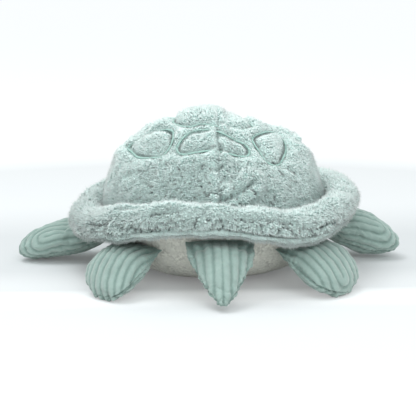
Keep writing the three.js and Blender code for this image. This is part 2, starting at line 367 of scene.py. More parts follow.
def settle_cloth(mesh, held, most):
    """How far the filling moves each point of a closed cloth form whose held points stay. No move is
    longer than most."""
    scene, stuffing = bpy.context.scene, settings().turtle_stuffing
    trial = piece_of("trial", mesh)
    group = trial.vertex_groups.new(name="held")
    group.add(np.flatnonzero(held).tolist(), 1.0, "REPLACE")
    cloth = trial.modifiers.new("stuffing", "CLOTH")
    for key, value in CLOTH.items():
        setattr(cloth.settings, key, value)
    cloth.settings.uniform_pressure_force = stuffing.pressure
    cloth.settings.shrink_min = -stuffing.ease
    cloth.settings.effector_weights.gravity = 0
    cloth.collision_settings.use_collision = False
    cloth.point_cache.frame_start, cloth.point_cache.frame_end = 1, stuffing.frames
    start = read_points(mesh)
    for frame_number in range(1, stuffing.frames + 1):
        scene.frame_set(frame_number)
    pressed = trial.evaluated_get(bpy.context.evaluated_depsgraph_get()).to_mesh()
    moves = read_points(pressed) - start
    trial.to_mesh_clear()
    bpy.data.objects.remove(trial)
    scene.frame_set(1)
    size = np.linalg.norm(moves, axis=1, keepdims=True)
    return moves * most * np.tanh(size / most) / np.maximum(size, 1e-9)


def stuffed(name, columns, rows, place, held, most):
    """A place function whose form has been pressed out by its filling: the same form on a coarse
    grid goes through the cloth simulation, and its moves are spread over the fine one."""
    coarse = grid_mesh(name, columns, rows, place)
    start = read_points(coarse)
    u = np.tile(np.linspace(0, 1, columns + 1), rows + 1)
    v = np.repeat(np.linspace(0, 1, rows + 1), columns + 1)
    tree = tree_of(start.tolist())
    grid = place(u, v)
    same = [tree.find(point)[1] for point in grid.tolist()]
    holds = np.zeros(len(start), bool)
    holds[np.array(same)[held(u, v, grid)]] = True
    moves = settle_cloth(coarse, holds, most)[same].reshape(rows + 1, columns + 1, 3)
    bpy.data.meshes.remove(coarse)

    def pressed(u, v):
        across, along = np.clip(u, 0, 1) * columns, np.clip(v, 0, 1) * rows
        i, j = np.minimum(across.astype(int), columns - 1), np.minimum(along.astype(int), rows - 1)
        a, b = (across - i)[:, None], (along - j)[:, None]
        low = moves[j, i] * (1 - a) + moves[j, i + 1] * a
        high = moves[j + 1, i] * (1 - a) + moves[j + 1, i + 1] * a
        return place(u, v) + low * (1 - b) + high * b

    return pressed


def cloth_form(name, fine, coarse, place, held, most, relief, wraps=False):
    """A stuffed form on a fine grid, pressed out by at most the given length on a coarse one."""
    return grid_mesh(name, *fine, stuffed(name, *coarse, place, held, most), relief, wraps)


# Nodes and materials: patterns lie on the piece's own coordinates and attributes


class NodeTree:
    """A short way to write a tree of nodes."""

    def __init__(self, tree):
        self.tree = tree

    def add(self, kind, inputs=None, **values):
        node = self.tree.nodes.new(kind)
        for key, value in values.items():
            setattr(node, key, value)
        return self.set(node, inputs or {})

    def link(self, source, socket):
        self.tree.links.new(source, socket)

    def fill(self, sources, sockets):
        """Links each socket to its source, or sets it where the source is a plain value."""
        for source, socket in zip(sources, sockets):
            if isinstance(source, (int, float, str, tuple)):
                socket.default_value = source
            else:
                self.link(source, socket)

    def set(self, node, inputs):
        """Fills the inputs of a node by their names."""
        self.fill(inputs.values(), [node.inputs[key] for key in inputs])
        return node

    def math(self, how, *sources):
        node = self.add("ShaderNodeMath", operation=how)
        self.fill(sources, node.inputs)
        return node.outputs[0]


class Nodes(NodeTree):
    """The nodes of a material."""

    def __init__(self, name):
        self.material = bpy.data.materials.new(name)
        self.material.use_nodes = True
        super().__init__(self.material.node_tree)
        self.shader = self.tree.nodes["Principled BSDF"]
        self.place = self.add("ShaderNodeTexCoord").outputs["Object"]

    def noise(self, size, detail=2.0, rough=0.5):
        inputs = {"Scale": 1 / size, "Detail": detail, "Roughness": rough, "Vector": self.place}
        return self.add("ShaderNodeTexNoise", inputs).outputs["Fac"]

    def read(self, name):
        return self.add("ShaderNodeAttribute", attribute_name=name).outputs["Fac"]

    def spread(self, value, low, high, to_low=0.0, to_high=1.0):
        """The value, taken smoothly from the range low to high into the range to_low to to_high."""
        inputs = {"From Min": low, "From Max": high, "To Min": to_low, "To Max": to_high, "Value": value}
        return self.add("ShaderNodeMapRange", inputs, interpolation_type="SMOOTHSTEP").outputs["Result"]

    def mix(self, fac, a, b, how="MIX"):
        node = self.add("ShaderNodeMix", data_type="RGBA", blend_type=how)
        a, b = ((*colour, 1) if isinstance(colour, tuple) else colour for colour in (a, b))
        self.fill((fac, a, b), (node.inputs[0], node.inputs[6], node.inputs[7]))
        return node.outputs[2]

    def toned(self, colour, tone):
        """The colour, made darker or lighter by the tone."""
        grey = self.add("ShaderNodeCombineColor")
        self.fill((tone, tone, tone), grey.inputs)
        return self.mix(1.0, colour, grey.outputs[0], "MULTIPLY")

    def bump(self, height, distance, strength=1.0, under=None):
        inputs = {"Distance": distance, "Strength": strength, "Height": height}
        if under:
            inputs["Normal"] = under
        return self.add("ShaderNodeBump", inputs).outputs["Normal"]

    def finish(self, colour, roughness, sheen, normal=None):
        """Sets the shader as dull cloth, and gives the material."""
        inputs = {"Base Color": colour, "Roughness": roughness, "Specular IOR Level": 0.15}
        inputs |= {"Sheen Weight": sheen, "Sheen Roughness": 0.5}
        if normal:
            inputs["Normal"] = normal
        self.set(self.shader, inputs)
        return self.material


def darker(colour, by):
    return tuple(c * by for c in colour)


def fur_material(name, tip, root):
    """Locks of fur: dark at the root, light at the tip, each a little different."""
    n = Nodes(name)
    body = n.mix(n.spread(n.read("rise"), 0.0, 0.7), tuple(root), tuple(tip))
    patches = n.spread(n.noise(0.014, 3.0, 0.6), 0.3, 0.7, 0.9, 1.06)
    lock = n.spread(n.read("tone"), 0, 1, 0.9, 1.1)
    # Painted shade: the locks are darker where the mark is low, in the gaps between the clumps and along
    # lines and creases
    shade = n.spread(n.read("full_and_unshaded"), 0, 1, 0.34, 1.0)
    tone = n.math("MULTIPLY", n.math("MULTIPLY", patches, lock), shade)
    n.set(n.shader, {"Subsurface Weight": 0.5, "Subsurface Radius": (1, 1, 1), "Subsurface Scale": 0.0012})
    return n.finish(n.toned(body, tone), 0.8, 0.35)


def skin_material(name, low, high):
    """The backing and the lower half of the fur, darkened with painted shade in the pits between the tufts.
    """
    n = Nodes(name)
    fuzz = n.noise(0.0009, 2.0, 0.6)
    height = n.math("ADD", n.read("relief"), n.spread(fuzz, 0.3, 0.7, -0.15, 0.15))
    colour = n.mix(n.spread(height, 0.1, 1.0), tuple(low), tuple(high))
    # Painted shade: near black where the gaps and creases are shaded
    colour = n.mix(n.spread(n.read("full_and_unshaded"), 0.0, 0.9), darker(low, 0.14), colour)
    return n.finish(colour, 0.9, 0.3, n.bump(fuzz, 0.0008, 0.8))


def corduroy_material():
    """Corduroy: light on the wales, painted shade in the grooves, with the short nap of the pile."""
    colours = settings().turtle_colours
    n = Nodes("wale_cloth")
    nap = n.noise(0.0007, 2.0, 0.6)
    worn = n.noise(0.011, 3.0, 0.55)
    ridge = n.math("ADD", n.read("relief"), n.spread(nap, 0.3, 0.7, -0.18, 0.18))
    colour = n.mix(n.spread(ridge, 0.05, 0.8), tuple(colours.valley), tuple(colours.ridge))
    colour = n.toned(colour, n.spread(worn, 0.3, 0.7, 0.93, 1.06))
    return n.finish(colour, 0.85, 0.45, n.bump(nap, 0.0005, 0.7, n.bump(worn, 0.002, 0.3)))


def cream_material():
    """Short cream pile with a soft lie."""
    colours = settings().turtle_colours
    n = Nodes("belly_pile")
    nap = n.noise(0.0026, 3.0, 0.65)
    lie = n.noise(0.009, 2.0, 0.5)
    colour = n.mix(n.spread(nap, 0.36, 0.62), darker(colours.cream, 0.62), tuple(colours.cream))
    colour = n.mix(n.spread(lie, 0.4, 0.62, 0, 0.8), colour, darker(colours.cream, 0.84))
    return n.finish(colour, 0.9, 0.35, n.bump(nap, 0.0014, 0.9, n.bump(lie, 0.003, 0.5)))


def thread_material(name, colour, roughness, sheen):
    """Twisted thread: fine slanting turns across each stitch."""
    n = Nodes(name)
    twist = n.noise(0.0006, 2.0, 0.5)
    colour = n.mix(n.spread(twist, 0.3, 0.7), darker(colour, 0.75), tuple(colour))
    return n.finish(colour, roughness, sheen, n.bump(twist, 0.0003))


# Fur: locks set on a skin by geometry nodes, then kept as a mesh


def lock_mesh(full):
    """One lock of fur, one unit high: a thin spike, or a full lock that swells and leans."""
    bm = bmesh.new()
    if full:
        bmesh.ops.create_circle(bm, cap_ends=True, segments=3, radius=0.3)
        made = bmesh.ops.extrude_face_region(bm, geom=bm.faces[:])["geom"]
        ring = [v for v in made if isinstance(v, bmesh.types.BMVert)]
        bmesh.ops.scale(bm, vec=(5 / 3, 5 / 3, 1), verts=ring)
        bmesh.ops.translate(bm, vec=(0.06, 0, 0.45), verts=ring)
        cap = [f for f in made if isinstance(f, bmesh.types.BMFace)]
        tip = bmesh.ops.poke(bm, faces=cap)["verts"]
        bmesh.ops.translate(bm, vec=(0.3, 0, 0.55), verts=tip)
    else:
        bmesh.ops.create_cone(bm, segments=3, radius1=0.5, radius2=0.0, depth=1, cap_ends=True)
        bmesh.ops.translate(bm, verts=bm.verts, vec=(0, 0, 0.5))
        bmesh.ops.remove_doubles(bm, verts=bm.verts, dist=0.001)
    bmesh.ops.triangulate(bm, faces=bm.faces)
    bmesh.ops.recalc_face_normals(bm, faces=bm.faces)
    mesh = mesh_of("lock", bm)
    mark(mesh, "rise", read_points(mesh)[:, 2])
    return mesh


class Sprout(NodeTree):
    """The node group that sets locks on a skin."""

    def __init__(self, lock, density, high, wide, ruffle, tuft, seed):
        super().__init__(bpy.data.node_groups.new("fur", "GeometryNodeTree"))
        for way in ("INPUT", "OUTPUT"):
            self.tree.interface.new_socket("Geometry", in_out=way, socket_type="NodeSocketGeometry")
        start, end = self.add("NodeGroupInput"), self.add("NodeGroupOutput")
        thick = self.math("MULTIPLY", self.named("thick"), density)
        points = self.add(
            "GeometryNodeDistributePointsOnFaces",
            {"Mesh": start.outputs[0], "Density": thick, "Seed": seed},
            distribute_method="RANDOM",
        )
        ripple = self.add("ShaderNodeTexNoise", {"Scale": 1 / tuft, "Detail": 1.0})
        ripple = self.scaled(self.vector("SUBTRACT", ripple.outputs["Color"], (0.5, 0.5, 0.5)), ruffle)
        stray = self.scaled(self.random((-0.5, -0.5, -0.5), (0.5, 0.5, 0.5), 2), STRAY)
        way = self.vector("ADD", points.outputs["Normal"], LEAN)
        way = self.vector("ADD", self.vector("ADD", way, ripple), stray)
        turned = self.add("FunctionNodeAlignRotationToVector", {"Vector": way}, axis="Z")
        tall = self.math("MULTIPLY", self.random(0.65, 1.15, 5, "FLOAT"), high)
        tall = self.math("MULTIPLY", tall, self.named("tall"))
        size = self.add("ShaderNodeCombineXYZ", {"X": wide, "Y": wide, "Z": tall})
        source = self.add("GeometryNodeObjectInfo")
        source.inputs["Object"].default_value = lock
        inputs = {
            "Points": points.outputs["Points"],
            "Instance": source.outputs["Geometry"],
            "Rotation": turned.outputs["Rotation"],
            "Scale": size.outputs[0],
        }
        place = self.add("GeometryNodeInstanceOnPoints", inputs)
        tone = self.add("GeometryNodeStoreNamedAttribute", data_type="FLOAT", domain="INSTANCE")
        random_tone = self.random(0.0, 1.0, 9, "FLOAT")
        self.set(tone, {"Geometry": place.outputs["Instances"], "Name": "tone", "Value": random_tone})
        real = self.add("GeometryNodeRealizeInstances", {"Geometry": tone.outputs["Geometry"]})
        self.link(real.outputs["Geometry"], end.inputs[0])

    def named(self, name):
        node = self.add("GeometryNodeInputNamedAttribute", {"Name": name}, data_type="FLOAT")
        return node.outputs["Attribute"]

    def vector(self, how, *sources):
        node = self.add("ShaderNodeVectorMath", operation=how)
        self.fill(sources, node.inputs)
        return node.outputs[0]

    def scaled(self, source, by):
        node = self.add("ShaderNodeVectorMath", {"Scale": by}, operation="SCALE")
        self.link(source, node.inputs[0])
        return node.outputs[0]

    def random(self, low, high, seed, kind="FLOAT_VECTOR"):
        node = self.add("FunctionNodeRandomValue", {"Seed": seed}, data_type=kind)
        at = 0 if kind == "FLOAT_VECTOR" else 2
        self.fill((low, high), node.inputs[at : at + 2])
        return node.outputs[0 if kind == "FLOAT_VECTOR" else 1]


# How much higher hairs stand than locks, and how fur lies: its lean, its ruffle and its stray ends
HAIR_RISE, LEAN, RUFFLE, STRAY = 1.5, (0, 0, -0.5), 1.25, 0.55


def grow(name, skin, material, thick, tall, seed, full=True, ruffle=RUFFLE):
    """Grows fur on a skin, as dense and as tall as the two lists say, and keeps it as a piece.
    Full locks lie among thin hairs, which are denser and stand a little higher."""
    fur = settings().turtle_fur
    mark(skin.data, "thick", thick)
    mark(skin.data, "tall", tall)
    lock = bpy.data.objects.new("lock", lock_mesh(full))
    bpy.context.scene.collection.objects.link(lock)
    if full:
        density, high, wide = fur.locks, fur.pile, fur.lock
    else:
        density, high, wide = fur.hairs, fur.pile * HAIR_RISE, fur.hair
    sprout = Sprout(lock, density, high, wide, ruffle, fur.tuft, fur.seed + seed)
    growth = skin.modifiers.new("growth", "NODES")
    growth.node_group = sprout.tree
    bpy.context.view_layer.update()
    grown = skin.evaluated_get(bpy.context.evaluated_depsgraph_get())
    mesh = bpy.data.meshes.new_from_object(grown)
    mesh.name = name
    mesh.materials.clear()
    skin.modifiers.remove(growth)
    bpy.data.objects.remove(lock)
    return piece_of(name, mesh, material)


# Lines sewn or folded into the cloth


def rounded(points, closed, step=0.0008):
    """A smooth line through points, with a place every step."""
    points = [Vector(p) for p in points]
    count = len(points)
    out = []
    for i in range(count if closed else count - 1):
        near = range(i - 1, i + 3)
        a, b, c, d = (points[k % count if closed else min(max(k, 0), count - 1)] for k in near)
        pieces = max(2, int((c - b).length / step))
        for k in range(pieces):
            t = k / pieces
            bent = (2 * a - 5 * b + 4 * c - d) * t * t
            out.append(0.5 * (2 * b + (c - a) * t + bent + (3 * b - a - 3 * c + d) * t**3))
    return out if closed else [*out, points[-1]]


def distance_to(lines, points):
    """How far each point is from the nearest of the lines."""
    tree = tree_of([place for line in lines for place in line])
    return np.array([tree.find(p)[2] for p in points.tolist()])


# Stage


# Glow of the floor that only the camera sees. It whitens the floor away from the turtle and paints light
# and shade near it: it lifts the shadow just in front of the belly and leaves a darker band of painted
# shade across the floor through the turtle's middle. The two ends of a band, in metres, and the glow at
# each. All but the last lie along Y; the last is a distance from the middle of the floor
NEAR_GLOW = ((-0.1, -0.06, 0.38, 0.1), (-0.145, -0.105, 0.24, 0.45))
BEFORE_GLOW, BEHIND_GLOW = (-0.07, 0.03, 0.21, 0.05), (0.05, 0.34, 0.05, 0.26)
FAR_GLOW = (0.35, 0.9, 0, 0.5)
SKY = {"From Min": 0.0, "From Max": 0.8, "To Min": 0.3, "To Max": 0.96}
LAMPS = (
    {"name": "key", "place": (-0.42, -0.2, 1.52), "size": 0.9, "energy": 9.5},
    {"name": "fill", "place": (0.3, -1.5, 1.15), "size": 1.2, "energy": 10},
)
CAMERA_PLACE, CAMERA_AIM, CAMERA_ASIDE = (-0.0519, -1.0804, 0.2555), (0, 0, 0.055), 0.0054
SENSOR_WIDTH, LENS = 36, 105.75
FLOOR_HALF_WIDTH = 40


class TURTLE_OT_stage(Operator):
    """Sets the floor, the light and the camera"""

    bl_idname = "turtle.stage"
    bl_label = "Stage"

    def execute(self, context):
        self.set_floor()
        self.set_light()
        self.set_camera()
        return {"FINISHED"}

    def set_floor(self):
        bm = bmesh.new()
        bmesh.ops.create_grid(bm, x_segments=12, y_segments=12, size=FLOOR_HALF_WIDTH)
        n = Nodes("floor")
        floor = piece_of("floor", mesh_of("floor", bm), n.material)
        colours = settings().turtle_colours
        seen = n.add("ShaderNodeLightPath").outputs["Is Camera Ray"]
        along = n.add("ShaderNodeSeparateXYZ", {"Vector": n.place}).outputs["Y"]
        away = n.add("ShaderNodeVectorMath", operation="LENGTH")
        n.link(n.place, away.inputs[0])
        glow = n.math("MINIMUM", *(n.spread(along, *band) for band in NEAR_GLOW))
        for where, band in ((along, BEFORE_GLOW), (along, BEHIND_GLOW), (away.outputs["Value"], FAR_GLOW)):
            glow = n.math("MAXIMUM", glow, n.spread(where, *band))
        inputs = {
            "Base Color": n.mix(seen, tuple(colours.floor), tuple(colours.floor_seen)),
            "Roughness": 0.9,
            "Specular IOR Level": 0.0,
            "Emission Color": (1, 1, 1, 1),
            "Emission Strength": n.math("MULTIPLY", seen, glow),
        }
        n.set(n.shader, inputs)

    def set_light(self):
        world = bpy.data.worlds.new("studio")
        world.use_nodes = True
        bpy.context.scene.world = world
        n = NodeTree(world.node_tree)
        seen = n.add("ShaderNodeLightPath").outputs
        either = n.math("MAXIMUM", seen["Is Camera Ray"], seen["Is Glossy Ray"])
        way = n.add("ShaderNodeTexCoord").outputs["Generated"]
        up = n.add("ShaderNodeSeparateXYZ", {"Vector": way}).outputs["Z"]
        sky = n.add("ShaderNodeMapRange", {**SKY, "Value": up}).outputs[0]
        strength = n.add("ShaderNodeMapRange", {"To Min": sky, "Value": either}).outputs[0]
        n.set(n.tree.nodes["Background"], {"Color": (1, 1, 1, 1), "Strength": strength})
        for row in LAMPS:
            lamp = bpy.data.lights.new(row["name"], "AREA")
            lamp.shape, lamp.size, lamp.energy = "DISK", row["size"], row["energy"]
            holder = bpy.data.objects.new(row["name"], lamp)
            holder.location = row["place"]
            holder.rotation_euler = (-Vector(row["place"])).to_track_quat("-Z", "Y").to_euler()
            bpy.context.scene.collection.objects.link(holder)

    def set_camera(self):
        scene = bpy.context.scene
        camera = bpy.data.cameras.new("camera")
        camera.sensor_width, camera.lens = SENSOR_WIDTH, LENS
        holder = bpy.data.objects.new("camera", camera)
        look = Vector(CAMERA_AIM) - Vector(CAMERA_PLACE)
        aside = look.cross(Vector((0, 0, 1))).normalized() * CAMERA_ASIDE
        holder.location = CAMERA_PLACE
        holder.rotation_euler = (look - aside).to_track_quat("-Z", "Y").to_euler()
        scene.collection.objects.link(holder)
        scene.camera = holder
        scene.view_settings.view_transform = "Standard"


# Shell. Plan coordinates are shares of the dome's half width and half length, rear negative


SCUTES = {
    "rear": [
        (0.008, -0.492), (-0.138, -0.446), (-0.233, -0.447), (-0.299, -0.493), (-0.344, -0.569),
        (-0.324, -0.631), (-0.269, -0.662), (-0.169, -0.669), (-0.042, -0.665), (0.042, -0.685),
        (0.168, -0.7), (0.243, -0.683), (0.266, -0.625), (0.23, -0.57), (0.145, -0.538),
    ],
    "middle": [
        (-0.006, -0.377), (0.117, -0.332), (0.199, -0.351), (0.259, -0.326), (0.325, -0.251),
        (0.313, -0.174), (0.235, -0.012), (0.311, 0.148), (0.219, 0.268), (0.014, 0.288), (-0.192, 0.268),
        (-0.315, 0.148), (-0.367, -0.078), (-0.34, -0.211), (-0.228, -0.335), (-0.131, -0.328),
    ],
    "left": [
        (-0.786, -0.199), (-0.701, -0.161), (-0.634, -0.193), (-0.491, -0.233), (-0.409, -0.333),
        (-0.423, -0.49), (-0.494, -0.565), (-0.58, -0.521), (-0.69, -0.401), (-0.756, -0.29),
    ],
    "right": [
        (0.338, -0.464), (0.428, -0.291), (0.54, -0.146), (0.611, -0.246), (0.625, -0.355), (0.608, -0.439),
        (0.553, -0.587), (0.5, -0.641), (0.439, -0.647), (0.384, -0.579),
    ],
    "front": [
        (-0.22, 0.12), (0.014, 0.368), (0.22, 0.12), (0.32, 0.27), (0.22, 0.44), (0, 0.47), (-0.22, 0.44),
        (-0.32, 0.27),
    ],
    "neck": [
        (-0.2, 0.56), (0, 0.55), (0.2, 0.56), (0.27, 0.64), (0.2, 0.73), (0, 0.755), (-0.2, 0.73),
        (-0.27, 0.64),
    ],
    "side": [
        (0.424, 0.067), (0.527, 0.027), (0.672, -0.094), (0.778, -0.148), (0.815, -0.094), (0.78, 0.17),
        (0.6, 0.2), (0.44, 0.16), (0.383, 0.268),
    ],
    "shoulder": [
        (0.42, 0.3), (0.56, 0.29), (0.7, 0.32), (0.66, 0.45), (0.55, 0.58), (0.44, 0.66), (0.37, 0.56),
        (0.38, 0.4),
    ],
}
GATHER = [(0.01, -0.972), (0.055, -0.964), (0.115, -0.952), (0.175, -0.932), (0.232, -0.902), (0.275, -0.872)]
FOLDS = [
    [(0.555, -0.642), (0.615, -0.619), (0.674, -0.59)],
    [(0.619, -0.293), (0.667, -0.305), (0.704, -0.31)],
    [(0.395, 0.001), (0.455, 0.011)],
    [(-0.806, -0.471), (-0.751, -0.525), (-0.698, -0.567)],
    [(-0.957, -0.155), (-0.932, -0.195), (-0.903, -0.248)],
    [(0.002, -0.637), (0.009, -0.57), (-0.001, -0.505)],
    [(0.003, -0.438), (0.009, -0.394)],
    [(0, 0.5), (0.003, 0.53)],
    [(0, 0.78), (0.004, 0.86), (0, 0.97)],
]

CREST_PLACES = [
    -95, -89, -83, -77, -70, -56, -45, -34, -24, -18, -9, 2, 10, 20, 31, 38, 47, 58, 70, 75, 80, 86, 92,
]
CREST_DROPS = [
    7, 3, -8, -8, -3, -1.5, 0, 0.5, 0, -1, -1, -1, 4.5, 3.5, 3, 4.5, 4, 1, -3.5, -8, -8, 1, 6,
]
EVEN_DROP, CREST_SPREAD = 0.0042, 0.04

SIDES = ((-1, "left"), (1, "right"))
KINDS_OF_FUR = ((True, "locks"), (False, "hairs"))
THREAD_ASIDE = 0.62

# Tufts: the width of the finer ones and their height as shares of the others', and the height that
# counts as none
FINE_WIDTH, FINE_HEIGHT, TUFT_MEAN = 0.55, 0.45, 0.6

# The dome's cloth: how far inside its fur the form lies and how far the filling may press it. Valleys
# have a depth and a half width; welts have a height, a distance from their line and a spread
DOME_INSET, DOME_PRESS, DOME_DETAIL, DOME_TRIAL = 0.0026, 0.0014, 7, 6
SEAM_SIDE, SEAM_WANDER, SEAM_VALLEY, BUNCH_HEIGHT = 0.001, 0.0026, (0.003, 0.0013), 0.0042
GATHER_VALLEY, GATHER_WELT = (0.006, 0.0026), (0.0048, 0.0068, 0.0028)
FOLD_VALLEY, FOLD_WELT = (0.0036, 0.0017), (0.0012, 0.005, 0.0025)
QUILT_HEIGHT, PILE_ROOM, SEWN_SHARE = 0.0012, 0.0016, 0.4
SEAM_HOLD, STITCH_HOLD = 0.002, 0.0022
# How dark the painted shade along the lines is, and its half width
STITCH_SHADE, FOLD_SHADE = (0.95, 0.0024), (0.7, 0.0018)
GATHER_SHADE, SEAM_SHADE = (0.8, 0.0022), (0.6, 0.0014)


def dome_base():
    """Height of the dome's lower edge."""
    shell = settings().turtle_shell
    return shell.seam_height + shell.seam_gap / 2


def settled(x, y):
    """How far the stuffed dome has settled under a true ellipsoid: more or less across its crest,
    and evenly in front of and behind it."""
    half = dome_half_width()
    edge = 1 - np.hypot(x, y / stretch()) / half
    evenly = EVEN_DROP * ease(edge, 0, 0.4)
    near = swell(y, 0, CREST_SPREAD)
    crest = through(x / MM, CREST_PLACES, CREST_DROPS) * MM
    return (crest * near + evenly * (1 - near)) * ease(edge, 0, 0.12)


def on_dome(x, y):
    """The point of the dome over a place of its plan."""
    half, base = dome_half_width(), dome_base()
    high = math.sqrt(max(0.0, 1 - x * x - y * y)) * (settings().turtle_shell.dome_top - base)
    place = Vector((x * half, y * half * stretch(), base + high))
    place.z -= settled(np.array([place.x]), np.array([place.y]))[0]
    return place


def dome_line(plan):
    """A smooth line over places of the dome's plan."""
    return rounded([on_dome(x, y) for x, y in plan], closed=False)


def scute_lines(grown=0.0):
    """The outlines of the scutes, moved outwards on the dome by the given length."""
    lines = []
    for name, plan in SCUTES.items():
        middle = np.mean(plan, axis=0)
        for side in (1, -1) if name in ("side", "shoulder") else (1,):
            line = []
            for x, y in plan:
                away = Vector((x - middle[0], y - middle[1])).normalized() * grown / dome_half_width()
                line.append(on_dome(side * (x + away.x), y + away.y))
            lines.append(rounded(line, closed=True))
    return lines


def tufted(points, seed):
    """The tufts of the fur and the finer ones between them."""
    fur = settings().turtle_fur
    seed += fur.seed
    return tufts(points, fur.tuft, seed), tufts(points, fur.tuft * FINE_WIDTH, seed + 20)


def tuft_relief(tuft, fine, fluff=1):
    """How far the tufts raise the cloth."""
    high = settings().turtle_fur.tuft_height
    return fluff * high * (tuft - TUFT_MEAN) + fluff * FINE_HEIGHT * high * (fine - TUFT_MEAN)


class TURTLE_OT_dome(Operator):
    """Makes the furry dome, with its scute lines and the folds along its seam"""

    bl_idname = "turtle.dome"
    bl_label = "Dome"

    def execute(self, context):
        shell, fur, colours = settings().turtle_shell, settings().turtle_fur, settings().turtle_colours
        base = dome_base()
        mesh, outward = self.form("dome_cloth", DOME_DETAIL)
        points = read_points(mesh)
        points += self.puffed(points)
        edge = ease(points[:, 2], base + 0.0005, base + 0.004)
        stitched = distance_to(scute_lines(), points)
        sewn = distance_to(scute_lines(fur.thread * THREAD_ASIDE), points)
        folded = distance_to([dome_line(plan) for plan in FOLDS], points)
        gathered = distance_to([dome_line(GATHER)], points)
        seam = np.abs(points[:, 0] - SEAM_SIDE + SEAM_WANDER * waves(points, 0.014, 3))
        tuft, fine = tufted(points, 0)
        lumps = np.where(points[:, 0] > 0, waves(points, 0.0085, 41), waves(points, 0.0085, 43))
        bunched = swell(seam, 0.0042, 0.0032) * (0.4 + 1.1 * lumps)
        bunched *= 1 - 0.8 * ease(points[:, 2], shell.dome_top - 0.018, shell.dome_top - 0.006)
        raised = (
            tuft_relief(tuft, fine)
            + 0.0012 * waves(points, 0.012, 11)
            + 0.0016 * waves(points, 0.034, 12)
            + BUNCH_HEIGHT * bunched
            - valley(seam, *SEAM_VALLEY)
            - valley(gathered, *GATHER_VALLEY)
            + welt(gathered, *GATHER_WELT)
            - valley(stitched, fur.line_depth, fur.line_width)
            - valley(sewn, SEWN_SHARE * fur.line_depth, fur.line_width)
            + QUILT_HEIGHT * ease(stitched, 0.001, 0.011)
            - PILE_ROOM
            - valley(folded, *FOLD_VALLEY)
            + welt(folded, *FOLD_WELT)
        )
        write_points(mesh, points + outward * (raised * edge)[:, None])
        clump = tufts(points, fur.clump, fur.seed + 40)
        # Painted shade in the gaps between the clumps: strongest low on the dome and in its middle, weakest
        # at its top and sides. The same share also thins the fur there
        rough = ease(shell.dome_top - 0.012 - points[:, 2], 0, 0.03)
        rough *= 1 - 0.7 * ease(np.abs(points[:, 0]) / dome_half_width(), 0.6, 0.95)
        gap = 1 - (1 - ease(clump, 0.15, 0.75)) * (0.2 + 0.8 * rough)
        # Painted shade along the stitched lines, the folds, the gather and the middle seam where it bunches
        crease = valley(stitched, *STITCH_SHADE) + valley(folded, *FOLD_SHADE)
        crease += valley(gathered, *GATHER_SHADE)
        crease += valley(seam, *SEAM_SHADE) * ease(lumps, -0.5, 0.3)
        # Marks for the colours: relief paints shade into the backing's pits between the tufts, and the second
        # mark is low where the gaps and creases get painted shade
        mark(mesh, "relief", 0.45 + 0.55 * tuft)
        mark(mesh, "full_and_unshaded", np.clip(gap - crease, 0, 1))
        # Painted shade: the backing is a darker copy of the fur's colours, for the shade deep in the pile
        backing = skin_material("plush_backing", darker(colours.fur_root, 0.7), darker(colours.fur_tip, 0.85))
        dome = piece_of("dome_cloth", mesh, backing)
        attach(dome, "shell")
        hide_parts("dome_panel_left", "dome_panel_right", "body_filling")
        # The fur hides parts of the sewn line
        covered = 0.0016 * ease(waves(points, 0.011, 51), -0.15, 0.35)
        line = np.minimum(np.minimum(np.minimum(stitched, sewn + covered) - 0.0003, gathered), folded)
        thick = ease(line, 0.0007, 0.0015) * (points[:, 2] > base + 0.004) * (0.35 + 0.65 * gap)
        tall = (0.25 + 0.75 * ease(line, 0.001, 0.0075)) * (0.5 + 0.65 * clump)
        tall += 0.12 * waves(points, 0.02, 14)
        material = fur_material("fur", colours.fur_tip, colours.fur_root)
        for side, word in SIDES:
            half = thick * (points[:, 0] * side >= 0)
            for full, kind in KINDS_OF_FUR:
                name, seed = f"dome_{kind}_{word}", side + 1 + 4 * full
                fur_piece = grow(name, dome, material, half, tall, seed, full)
                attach(fur_piece, "shell")
        return {"FINISHED"}

    def form(self, name, subdivisions):
        """The closed half ellipsoid of the dome, settled, and the directions that point out of it."""
        bm = bmesh.new()
        bmesh.ops.create_icosphere(bm, subdivisions=subdivisions, radius=1)
        everything = [*bm.verts, *bm.edges, *bm.faces]
        bmesh.ops.bisect_plane(bm, geom=everything, plane_co=(0, 0, 0), plane_no=(0, 0, 1), clear_inner=True)
        rim = [e for e in bm.edges if e.is_boundary]
        bmesh.ops.holes_fill(bm, edges=rim, sides=0)
        for edge in rim:
            edge.smooth = False
        bmesh.ops.triangulate(bm, faces=[f for f in bm.faces if len(f.verts) > 4])
        base, wide = dome_base(), dome_half_width() - DOME_INSET
        size = (wide, wide * stretch(), settings().turtle_shell.dome_top - base - DOME_INSET)
        bmesh.ops.scale(bm, vec=size, verts=bm.verts)
        bmesh.ops.translate(bm, vec=(0, 0, base), verts=bm.verts)
        mesh = mesh_of(name, bm)
        points = read_points(mesh)
        outward = (points - (0, 0, base)) / np.square(size)
        outward /= np.maximum(np.linalg.norm(outward, axis=1, keepdims=True), 1e-9)
        points[:, 2] -= settled(points[:, 0], points[:, 1]) * (points[:, 2] > base)
        write_points(mesh, points)
        return mesh, outward

    def puffed(self, points):
        """How far the filling presses each point of the dome out between its stitched lines."""
        coarse, _ = self.form("dome", DOME_TRIAL)
        start = read_points(close_up(coarse))
        held = start[:, 2] < settings().turtle_shell.seam_height + SEAM_HOLD
        held |= (np.abs(start[:, 0]) < SEAM_HOLD) | (distance_to(scute_lines(), start) < STITCH_HOLD)
        moves = settle_cloth(coarse, held, DOME_PRESS)
        bpy.data.meshes.remove(coarse)
        tree = tree_of(start.tolist())
        near = [tree.find_n(point, 6) for point in points.tolist()]
        which = np.array([[found[1] for found in row] for row in near])
        weight = 1 / (np.array([[found[2] for found in row] for row in near]) ** 2 + 1e-6)
        return (moves[which] * weight[:, :, None]).sum(axis=1) / weight.sum(axis=1)[:, None]


STITCH_OVERLAP, STITCH_FLATNESS = 1.6, 0.3


